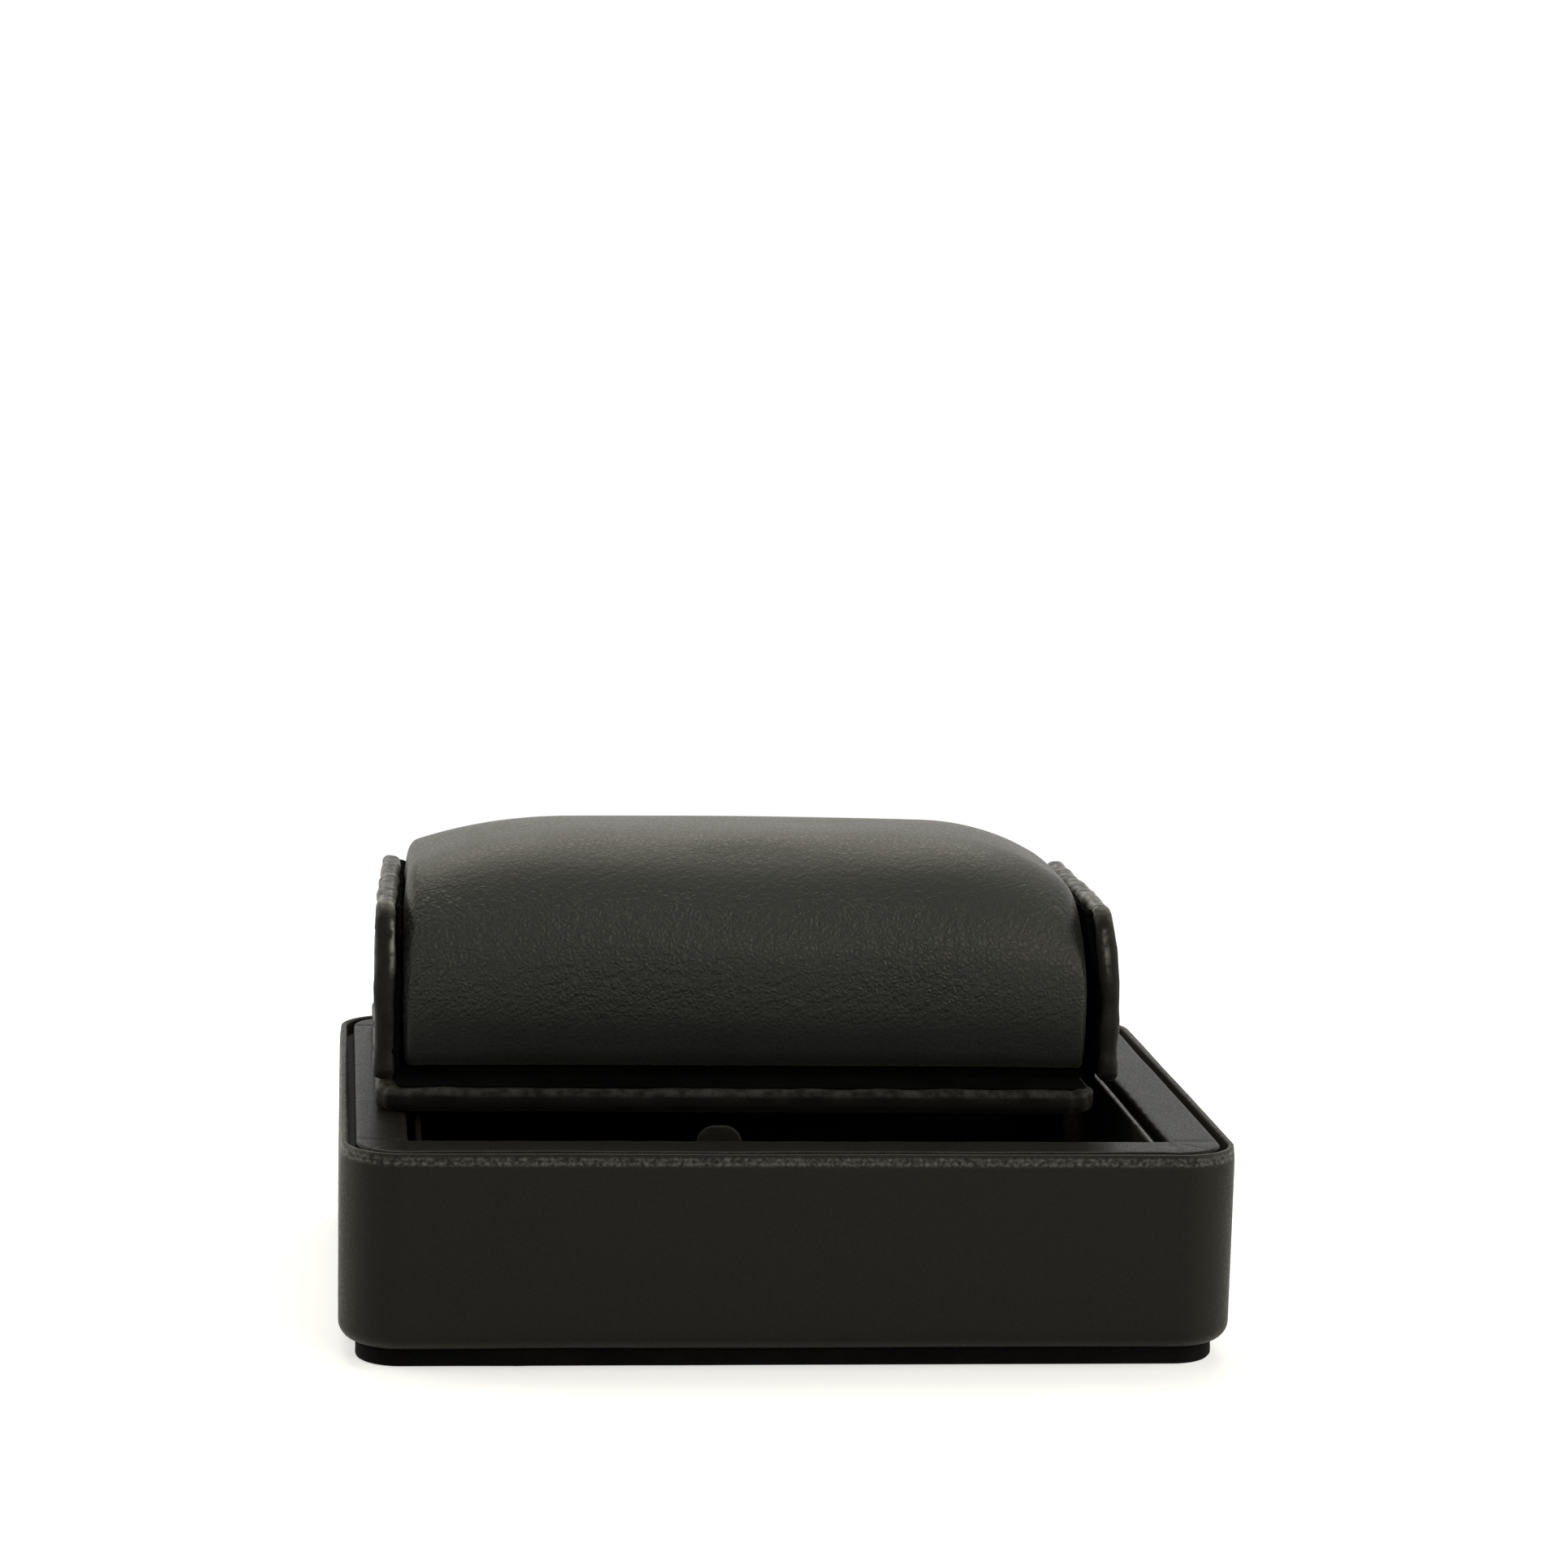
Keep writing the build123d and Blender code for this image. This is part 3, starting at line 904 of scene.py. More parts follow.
@dataclass
class Tray:
    """Leather tray: felt base, wall band, ledge strips, liner, suede floor and pull tab."""

    band: float = 1.1 * MM
    band_under: float = 0.8 * MM
    bottom_roll: float = 2.6 * MM
    corner: float = 9.0 * MM
    upper_pitch: float = 1.46 * MM
    lower_pitch: float = 1.3 * MM
    upper_row: tuple[float, float] = (0.7 * MM, 0.24 * MM)
    lower_row: tuple[float, float] = (1.35 * MM, 0.3 * MM)
    crimp_depth: float = 0.07 * MM
    lip_settle: float = 0.45 * MM
    turned_in: float = 7.2 * MM
    path_step: float = 0.26 * MM
    ledge_width: float = 7.45 * MM
    ledge_corner: float = 6.8 * MM
    ledge_roll: float = 0.5 * MM
    opening_corner: float = 1.2 * MM
    base_corner: float = 6.5 * MM

    def band_profile(self, low: float, high: float, reach: float) -> list[tuple[float, float]]:
        """Closed section of the wall band: outward offset and height, from the groove round the outside.

        Args:
            low: the band's underside.
            high: the lip's top.
            reach: how far the turned-in margin goes under the wall.

        Returns:
            Its points.
        """
        inner = -self.band
        profile = [(inner, high - 6 * MM), (inner, high - 3 * MM), (inner, high - 1.2 * MM)]
        profile += arc((inner + 0.38 * MM, high - 0.38 * MM), 0.38 * MM, 180, 90, 5)
        profile += arc((-0.42 * MM, high - 0.22 * MM), 0.22 * MM, 85, 20, 4)
        for depth in np.linspace(0.22, 2.4, 19):
            profile.append((-0.2 * MM * (1 - (depth - 0.22) / 2.18) ** 1.5, high - depth * MM))
        side = np.linspace(high - 3.2 * MM, low + self.bottom_roll + 1 * MM, 12)
        profile += [(0.0, height) for height in side]
        profile += arc((-self.bottom_roll, low + self.bottom_roll), self.bottom_roll, 0, -90, 9)
        profile += [(-reach / 2, low), (-reach, low), (-reach, low + self.band_under)]
        profile += [(-reach / 2, low + self.band_under), (-2.6 * MM, low + self.band_under)]
        profile += [(inner, low + self.bottom_roll), (inner, (low + high) / 2)]
        return profile

    def wall(self) -> None:
        """Leather band round the walls, with its crimped lip, and painted highlight on the crimps' crests
        and on the lip's top along the sides.
        """
        low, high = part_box("wall_leather")
        high.z -= self.lip_settle
        path = RoundedPath(high.x, high.y, self.corner, self.path_step)
        plan, ways, along, straight = path.trace()
        reach = high.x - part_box("ledge_right")[1].x + self.turned_in
        profile = np.array(self.band_profile(low.z, high.z, reach))
        offset = np.broadcast_to(profile[:, 0], (len(plan), len(profile))).copy()
        height = np.broadcast_to(profile[:, 1], offset.shape).copy()
        depth = high.z - height
        outside = offset > -0.55 * MM
        rows = (self.upper_row, self.lower_row)
        first, second = (np.exp(-(((depth - row) / width) ** 2)) for row, width in rows)
        line = along[:, None]
        beat = (0.7 + 0.3 * drift(line, 5 * MM, 7)) * straight
        upper = np.cos(2 * np.pi * along / self.upper_pitch + 0.9 * drift(line, 6 * MM, 3)) * beat
        lower = np.cos(2 * np.pi * along / self.lower_pitch + 1.5 * drift(line, 3 * MM, 8)) * beat
        bumps = first * upper[:, None] + 1.2 * second * lower[:, None]
        offset += outside * self.crimp_depth * bumps
        height += outside * 0.5 * self.crimp_depth * bumps
        # Painted highlight: the crests of both crimp rows, and the lip's top along the sides (shoulder), get
        # the mark that the wall leather lightens.
        crests = first * (0.85 + 0.35 * upper[:, None]) + second * (0.95 + 0.4 * lower[:, None])
        near_top = 1 - smooth(depth, 0.3 * MM, 0.8 * MM)
        shoulder = 0.45 * near_top * abs(ways[:, :1]) * (offset > -self.band * 0.98)
        place = plan[:, None, :] + ways[:, None, :] * offset[:, :, None]
        skin = Skin()
        wear_and_highlight = np.clip(outside * crests + shoulder, 0, 1)
        index = skin.points(np.concatenate([place, height[:, :, None]], -1), wear_and_highlight)
        skin.quads(index, ring=True, loop=True)
        piece = skin.object("wall_band")
        # Slight hand-laid waviness of the leather.
        push(piece, lambda points, _: (
            0.04 * MM * drift(points, 18 * MM, 11) + 0.008 * MM * drift(points, 4 * MM, 12)))
        finish_piece(piece, WALL_LEATHER, Body.TRAY, "wall_leather")

    def ledge(self) -> None:
        """Four mitred leather strips on the ledge."""
        outer_low, outer_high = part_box("ledge_front")
        half_x, half_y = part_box("ledge_right")[1].x, -outer_low.y
        opening_x, opening_y = half_x - self.ledge_width, half_y - self.ledge_width
        top, bottom, roll = outer_high.z, outer_low.z, self.ledge_roll
        corner_steps = 16
        for quarter, name in enumerate(("right", "rear", "left", "front")):
            outer = self.quarter_line(half_x, half_y, self.ledge_corner, quarter, corner_steps)
            inner = self.quarter_line(opening_x, opening_y, self.opening_corner, quarter, corner_steps)
            section = [(0.0, bottom), (0.0, top - roll)]
            section += [(roll * (1 - math.cos(a)), top - roll * (1 - math.sin(a)))
                        for a in np.radians([22, 45, 68, 90])]
            across = [(share * self.ledge_width, top) for share in np.linspace(0.12, 0.88, 12)]
            edge = [(self.ledge_width - x, z) for x, z in reversed(section)]
            section = section + across + edge
            rows = []
            for out, inn in zip(outer, inner):
                gap = np.linalg.norm(inn - out)
                way = (inn - out) / gap
                rows.append([(*(out + way * o * gap / self.ledge_width), z) for o, z in section])
            rows = np.array(rows)
            rows[0, :, 2] -= 0.02 * MM * (rows[0, :, 2] > top - 0.3 * MM)
            rows[-1, :, 2] -= 0.02 * MM * (rows[-1, :, 2] > top - 0.3 * MM)
            skin = Skin()
            wear_and_highlight = np.zeros(rows.shape[:2])
            wear_and_highlight[:, 2:6] = 0.8
            wear_and_highlight[:, -6:-2] = 1.0
            index = skin.points(rows, wear_and_highlight)
            skin.quads(index, ring=True)
            skin.cap(index[0])
            skin.cap(index[-1])
            piece = skin.object("ledge_strip_" + name)

            def unevenness(points: np.ndarray, normals: np.ndarray) -> np.ndarray:
                """Soft dips of the thin leather on its card, and a slightly ragged inner edge.

                Args:
                    points: the strip's points.
                    normals: their normals.

                Returns:
                    How far each point moves out.
                """
                up = smooth(normals[:, 2], 0.2, 0.9)
                from_side, from_end = abs(abs(points[:, 0]) - opening_x), abs(abs(points[:, 1]) - opening_y)
                from_inner = np.minimum(from_side, from_end)
                ragged = 1 - smooth(from_inner, 0.0, 1.2 * MM)
                soft = 0.05 * MM * up * drift(points, 12 * MM, 21)
                return soft + 0.05 * MM * ragged * drift(points, 1.6 * MM, 22) - 0.12 * MM * up * ragged

            push(piece, unevenness)
            finish_piece(piece, LEDGE_LEATHER, Body.TRAY, "ledge_" + name)

    @staticmethod
    def quarter_line(
        half_x: float, half_y: float, radius: float, quarter: int, steps: int
    ) -> list[np.ndarray]:
        """Places along one side of a rounded rectangle, from the middle of one corner to the next.

        Args:
            half_x: half of the rectangle's width.
            half_y: half of its depth.
            radius: its corner radius.
            quarter: 0 for the right side, then anticlockwise.
            steps: how many places each half corner has.

        Returns:
            The points.
        """
        reach_x, reach_y = half_x - radius, half_y - radius
        sides = (((1, -1), (1, 1)), ((1, 1), (-1, 1)), ((-1, 1), (-1, -1)), ((-1, -1), (1, -1)))
        (ax, ay), (bx, by) = sides[quarter]
        normal = quarter * math.pi / 2
        first, last = np.array([ax * reach_x, ay * reach_y]), np.array([bx * reach_x, by * reach_y])
        line = []
        for angle in np.linspace(normal - math.pi / 4, normal, steps + 1)[:-1]:
            line.append(first + radius * np.array([math.cos(angle), math.sin(angle)]))
        way = radius * np.array([math.cos(normal), math.sin(normal)])
        for share in np.linspace(0, 1, 90):
            line.append(first + way + (last - first) * share)
        for angle in np.linspace(normal, normal + math.pi / 4, steps + 1)[1:]:
            line.append(last + radius * np.array([math.cos(angle), math.sin(angle)]))
        return line

    def liner(self) -> None:
        """Liner walls with rounded top edges, and the suede sheet on the liner's floor; the right wall's top
        edge carries painted highlight and the other walls painted shade.
        """
        for name in ("front", "rear", "left", "right"):
            low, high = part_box("liner_" + name)
            lie = Lie.FACES_FRONT if name in ("front", "rear") else Lie.FACES_SIDE
            piece = boxed_slab("liner_wall_" + name, low, high, lie, (0.2 * MM,) * 4, 0.3 * MM, 1.2 * MM)
            # Slight waviness of the covered card.
            push(piece, lambda points, _: 0.04 * MM * drift(points, 14 * MM, 31))
            # Painted highlight on the right wall's top edge, painted shade on the others.
            finish = HIGHLIT_LINER if name == "right" else SHADED_LINER
            finish_piece(piece, finish, Body.TRAY, "liner_" + name)
        low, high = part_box("floor_suede")
        piece = boxed_slab("floor_suede_sheet", low, high, Lie.FLAT, (0.5 * MM,) * 4, 0.3 * MM, 1.5 * MM)
        # Soft dips in the suede's upper face.
        push(piece, lambda points, normals: (
            0.18 * MM * smooth(normals[:, 2], 0.3, 0.9) * drift(points, 14 * MM, 33)))
        finish_piece(piece, SUEDE, Body.TRAY, "floor_suede")

    def pull_tab(self) -> None:
        """Round-ended leather tab at the front of the liner."""
        low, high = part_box("pull_tab")
        corners = (1.0 * MM, 1.0 * MM, 2.6 * MM, 2.6 * MM)
        piece = boxed_slab("pull_tab_leather", low, high, Lie.FACES_FRONT, corners, 0.4 * MM, 0.35 * MM)
        # Uneven thickness of the tab's cut leather.
        push(piece, lambda points, _: 0.08 * MM * drift(points, 2.2 * MM, 41))
        finish_piece(piece, TAB_LEATHER, Body.TRAY, "pull_tab")

    def base(self) -> None:
        """Felt pad that the tray stands on."""
        low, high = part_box("base_felt")
        piece = boxed_slab("felt_base", low, high, Lie.FLAT, (self.base_corner,) * 4, 0.55 * MM, 1.1 * MM)

        def pile(points: np.ndarray, normals: np.ndarray) -> np.ndarray:
            """Soft, slightly fuzzy rim. The underside stays flat."""
            rim = 1 - smooth(abs(normals[:, 2]), 0.6, 0.95)
            return rim * (0.1 * MM * drift(points, 9 * MM, 51) + 0.05 * MM * drift(points, 1.5 * MM, 52))

        push(piece, pile)
        finish_piece(piece, FELT, Body.TRAY, "base_felt", "base_board")

    def build(self) -> None:
        """Builds the whole tray."""
        self.base()
        self.wall()
        self.ledge()
        self.liner()
        self.pull_tab()
        dress_node("tray_floor", FIBRE_BOARD)
        # Painted shade: black wall boards keep the groove under the lip dark.
        for node in ("wall_front", "wall_rear", "wall_left", "wall_right"):
            dress_node(node, GROOVE_SHADE_BOARD)
        for node in ("ledge_board", "liner_floor"):
            dress_node(node, CARD)


TOE_IN = 1.7 * MM
TOP_LEAN = 1.5 * MM


def lean(points: np.ndarray, side: Side) -> np.ndarray:
    """How far an ear stands inwards: the left one is toed in at its rear, the right one leans at its top.

    Args:
        points: places on the ear, or near it.
        side: which ear.

    Returns:
        The shift along X at each place.
    """
    low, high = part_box(f"ear_{side.name.lower()}_leather")
    if side is Side.LEFT:
        return TOE_IN * np.clip((points[:, 1] - low.y) / (high.y - low.y), 0, 1)
    return -TOP_LEAN * smooth(points[:, 2], low.z + 11 * MM, high.z + 1 * MM)


def lean_piece(piece: bpy.types.Object, side: Side) -> None:
    """Leans an ear's piece with its ear.

    Args:
        piece: the piece to change.
        side: which ear it belongs to.
    """
    points = points_of(piece)
    points[:, 0] += lean(points, side)
    set_points(piece, points)


@dataclass
class Stand:
    """Loose plate with its two ears."""

    plate_corner: float = 4.0 * MM
    plate_roll: float = 1.2 * MM
    facing_rise: float = 0.3 * MM
    ear_corner: float = 4.6 * MM
    ear_roll: float = 1.15 * MM
    # Strength of the painted highlight along each ear's top and down its front bead, left and right.
    top_highlight: tuple[float, float] = (1.0, 1.2)
    bead_highlight: tuple[float, float] = (1.3, 3.2)
    bead_width: float = 0.28 * MM
    stitch_pitch: float = 3.6 * MM
    stitch_inset: float = 2.6 * MM

    def plate(self) -> None:
        """Leather wrapped round the plate, wrinkled along its rolled edge and pleated at its corners, with
        painted highlight along its top rim and at its left end.
        """
        low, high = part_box("plate_leather")
        corners = (self.plate_corner,) * 4
        piece = boxed_slab("plate_wrap", low, high, Lie.FLAT, corners, self.plate_roll, 0.75 * MM, 6)
        centre, half = (low + high) / 2, (high - low) / 2

        def wrinkles(points: np.ndarray, normals: np.ndarray) -> np.ndarray:
            """Wavy rolled edge, small pleats round the corners, and a soft face.

            Args:
                points: the plate's points.
                normals: their normals.

            Returns:
                How far each point moves out.
            """
            local = points - np.array(centre)
            from_side = np.minimum(half.x - abs(local[:, 0]), half.y - abs(local[:, 1]))
            rim = 1 - smooth(from_side, 0.4 * MM, 3.2 * MM)
            upper = smooth(normals[:, 2], -0.2, 0.5)
            waves = 0.16 * MM * rim * upper * drift(local, 3.4 * MM, 61)
            nicks = -0.22 * MM * rim * upper * smooth(drift(local, 1.6 * MM, 62), 0.75, 1.2)
            corner_x, corner_y = half.x - 5 * MM - abs(local[:, 0]), half.y - 5 * MM - abs(local[:, 1])
            near = (1 - smooth(corner_x, -1 * MM, 1 * MM)) * (1 - smooth(corner_y, -1 * MM, 1 * MM))
            angle = np.arctan2(corner_y - 3 * MM, corner_x - 3 * MM)
            pleats = 0.14 * MM * near * rim * np.cos(angle * 22)
            face = 0.04 * MM * drift(local, 12 * MM, 63)
            return waves + nicks + pleats + face

        push(piece, wrinkles)
        # Painted highlight: only the top rim and the left end keep the mark that the plate leather lightens.
        points = points_of(piece)
        upper = smooth(points[:, 2], high.z - 1.3 * MM, high.z - 0.5 * MM)
        left_end = 1 - smooth(points[:, 0], low.x + 0.3 * MM, low.x + 1.2 * MM)
        scale_wear_and_highlight(piece, np.maximum(upper, left_end))
        finish_piece(piece, PLATE_LEATHER, Body.STAND, "plate_leather")
        dress_node("plate_board", FIBRE_BOARD)
        dress_node("plate_lining", SUEDE)
        dress_node("cradle_base", SUEDE)

    def facing(self) -> None:
        """Thin black suede sheet on the plate's top, between the ears and up to the rolled rim, which also
        stands as painted shade for the recess under the pillow.
        """
        low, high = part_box("plate_leather")
        left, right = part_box("cradle_base")[0].x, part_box("cradle_base")[1].x
        low = Vector((left + 0.2 * MM, low.y + 1.3 * MM, high.z - 0.25 * MM))
        high = Vector((min(right, high.x - 1.0 * MM), high.y - 1.3 * MM, high.z + self.facing_rise))
        piece = boxed_slab("plate_suede_and_painted_shade", low, high, Lie.FLAT, (2.6 * MM,) * 4, 0.2 * MM, 0.8 * MM, 3)

        def cut_edge(points: np.ndarray, normals: np.ndarray) -> np.ndarray:
            """Slightly uneven cut edge and a soft pile."""
            rim = 1 - smooth(abs(normals[:, 2]), 0.3, 0.9)
            return 0.14 * MM * rim * drift(points, 1.4 * MM, 66) + 0.02 * MM * drift(points, 3 * MM, 67)

        push(piece, cut_edge)
        finish_piece(piece, SUEDE, Body.STAND)

    def ear(self, side: Side) -> None:
        """One ear: leather wrap with a beaded wavy edge, painted highlight along its top and down its front
        bead, suede inside and a row of stitches outside.

        Args:
            side: which ear.
        """
        label = side.name.lower()
        low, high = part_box(f"ear_{label}_leather")
        centre, half = (low + high) / 2, (high - low) / 2
        corners = (1.3 * MM, 1.3 * MM, self.ear_corner, self.ear_corner)
        piece = boxed_slab(
            f"ear_{label}_wrap", low, high, Lie.FACES_SIDE, corners, self.ear_roll, 0.55 * MM, roll_steps=6)
        seed = 70 if side is Side.LEFT else 80
        inset = self.stitch_inset

        def wrinkles(points: np.ndarray, normals: np.ndarray) -> np.ndarray:
            """Wavy free edges, a padded outer face and a stitched groove in it.

            Args:
                points: the ear's points.
                normals: their normals.

            Returns:
                How far each point moves out.
            """
            local = points - np.array(centre)
            from_edge = np.minimum(half.y - abs(local[:, 1]), half.z - local[:, 2])
            rim = 1 - smooth(from_edge, 0.3 * MM, 3 * MM)
            outer = smooth(side.value * normals[:, 0], 0.3, 0.9)
            waves = 0.2 * MM * rim * drift(local, 4.2 * MM, seed)
            small = 0.07 * MM * rim * drift(local, 1.8 * MM, seed + 1)
            groove = np.exp(-(((from_edge - inset) / (0.45 * MM)) ** 2))
            dimple = 0.5 + 0.5 * np.cos(2 * np.pi * (local[:, 1] + local[:, 2]) / self.stitch_pitch)
            sewn = -0.28 * MM * outer * groove * (0.55 + 0.45 * dimple)
            pad = 0.22 * MM * outer * smooth(from_edge, 3.2 * MM, 7 * MM)
            return waves + small + sewn + pad

        push(piece, wrinkles)
        # Painted highlight: the ear's top and the bead of its front edge keep most of the mark that the
        # stand leather lightens.
        scale_wear_and_highlight(piece, self.ear_rub_and_highlight(points_of(piece), side, low, high))
        lean_piece(piece, side)
        finish_piece(piece, STAND_LEATHER, Body.STAND, f"ear_{label}_leather")
        self.board(side)
        self.lining(side)
        self.stitches(side, low, high)

    def ear_rub_and_highlight(self, points: np.ndarray, side: Side, low: Vector, high: Vector) -> np.ndarray:
        """How much an ear's edges are lightened: a faint scuff on all of them, the most painted highlight
        along its top, and less painted highlight down the bead of its front edge.

        Args:
            points: the ear's points.
            side: which ear.
            low: its lowest corner.
            high: its highest corner.

        Returns:
            A factor for each point.
        """
        which = int(side is Side.RIGHT)
        top = smooth(points[:, 2], high.z - 3.0 * MM, high.z - 0.5 * MM)
        top *= 0.17 + 0.78 * smooth(points[:, 1], low.y + 0.8 * MM, low.y + 3.5 * MM)
        top *= self.top_highlight[which]
        bead = high.x - 0.4 * MM if side is Side.LEFT else high.x - 1.7 * MM
        beside = np.exp(-(((points[:, 0] - bead) / self.bead_width) ** 2))
        front = 1 - smooth(points[:, 1], low.y + 1.0 * MM, low.y + 2.2 * MM)
        span = smooth(points[:, 2], high.z - 12 * MM, high.z - 8 * MM)
        span *= 1 - smooth(points[:, 2], high.z - 3.4 * MM, high.z - 2.0 * MM)
        return 0.02 + top + self.bead_highlight[which] * beside * front * span

    def board(self, side: Side) -> None:
        """Stiff board inside an ear, bent as the ear is.

        Args:
            side: which ear.
        """
        label = side.name.lower()
        low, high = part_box(f"ear_{label}_board")
        corners = (0.6 * MM, 0.6 * MM, self.ear_corner, self.ear_corner)
        piece = boxed_slab(f"ear_{label}_core", low, high, Lie.FACES_SIDE, corners, 0.3 * MM, 1.0 * MM, 3)
        push(piece, lambda points, _: -0.05 * MM + 0.02 * MM * drift(points, 6 * MM, 88))
        lean_piece(piece, side)
        finish_piece(piece, FIBRE_BOARD, Body.STAND, f"ear_{label}_board")

    def lining(self, side: Side) -> None:
        """Suede glued on an ear's inner face, with a slightly frayed cut edge.

        Args:
            side: which ear.
        """
        label = side.name.lower()
        low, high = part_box(f"ear_{label}_lining")
        centre, half = (low + high) / 2, (high - low) / 2
        corners = (0.6 * MM, 0.6 * MM, 2.9 * MM, 2.9 * MM)
        piece = boxed_slab(f"ear_{label}_suede", low, high, Lie.FACES_SIDE, corners, 0.22 * MM, 0.4 * MM, 3)

        def frayed(points: np.ndarray, normals: np.ndarray) -> np.ndarray:
            """Ragged cut edge and a soft pile.

            Args:
                points: the lining's points.
                normals: their normals, which it doesn't need.

            Returns:
                How far each point moves out.
            """
            local = points - np.array(centre)
            from_edge = np.minimum(half.y - abs(local[:, 1]), half.z - abs(local[:, 2]))
            rim = 1 - smooth(from_edge, 0.1 * MM, 1.2 * MM)
            ragged = 0.26 * MM * rim * (drift(local, 0.9 * MM, 91) + 0.8 * drift(local, 2.2 * MM, 92))
            return ragged + 0.03 * MM * drift(local, 3 * MM, 93)

        push(piece, frayed)
        lean_piece(piece, side)
        finish_piece(piece, SUEDE, Body.STAND, f"ear_{label}_lining")

    def stitches(self, side: Side, low: Vector, high: Vector) -> None:
        """Row of thread stitches along an ear's three free edges, on its outer face.

        Args:
            side: which ear.
            low: its lowest corner.
            high: its highest corner.
        """
        label = side.name.lower()
        outer = low.x if side is Side.LEFT else high.x
        route = self.stitch_route(low, high)
        skin = Skin()
        length, radius = 2.3 * MM, 0.24 * MM
        for place, way in route:
            rows = []
            for share in np.linspace(-1, 1, 9):
                girth = radius * math.sqrt(max(1 - share**4, 0.02))
                sink = 0.3 * MM * share**2
                middle = place + way * share * length / 2
                ring = []
                for turn in np.linspace(0, 2 * np.pi, 8, endpoint=False):
                    out = side.value * (girth * math.cos(turn) - 0.12 * MM - sink)
                    side_way = np.array([-way[1], way[0]])
                    flat = middle + side_way * girth * math.sin(turn)
                    ring.append((outer + out, flat[0], flat[1]))
                rows.append(ring)
            index = skin.points(np.array(rows), 0.3)
            skin.quads(index, ring=True)
            skin.cap(index[0])
            skin.cap(index[-1])
        piece = skin.object(f"ear_{label}_stitches")
        lean_piece(piece, side)
        finish_piece(piece, THREAD, Body.STAND)

    def stitch_route(self, low: Vector, high: Vector) -> list[tuple[np.ndarray, np.ndarray]]:
        """Middles and directions of an ear's stitches, in Y and Z.

        Args:
            low: the ear's lowest corner.
            high: its highest corner.

        Returns:
            A place and a direction for each stitch.
        """
        inset = self.stitch_inset
        front, rear, top = low.y + inset, high.y - inset, high.z - inset
        bend = self.ear_corner - inset + 0.6 * MM
        line = [(front, low.z + 2.5 * MM)]
        line += arc((front + bend, top - bend), bend, 180, 90, 7)
        line += arc((rear - bend, top - bend), bend, 90, 0, 7)
        line += [(rear, low.z + 2.5 * MM)]
        line = np.array(line)
        steps = np.linalg.norm(np.diff(line, axis=0), axis=1)
        along = np.concatenate([[0], np.cumsum(steps)])
        count = round(along[-1] / self.stitch_pitch)
        route = []
        for place in np.linspace(0.5, count - 0.5, count) * along[-1] / count:
            point = np.array([np.interp(place, along, line[:, k]) for k in (0, 1)])
            ahead = np.array([np.interp(place + 0.2 * MM, along, line[:, k]) for k in (0, 1)])
            way = ahead - point
            route.append((point, way / np.linalg.norm(way)))
        return route

    def build(self) -> None:
        """Builds the plate and both ears."""
        self.plate()
        self.facing()
        for side in Side:
            self.ear(side)


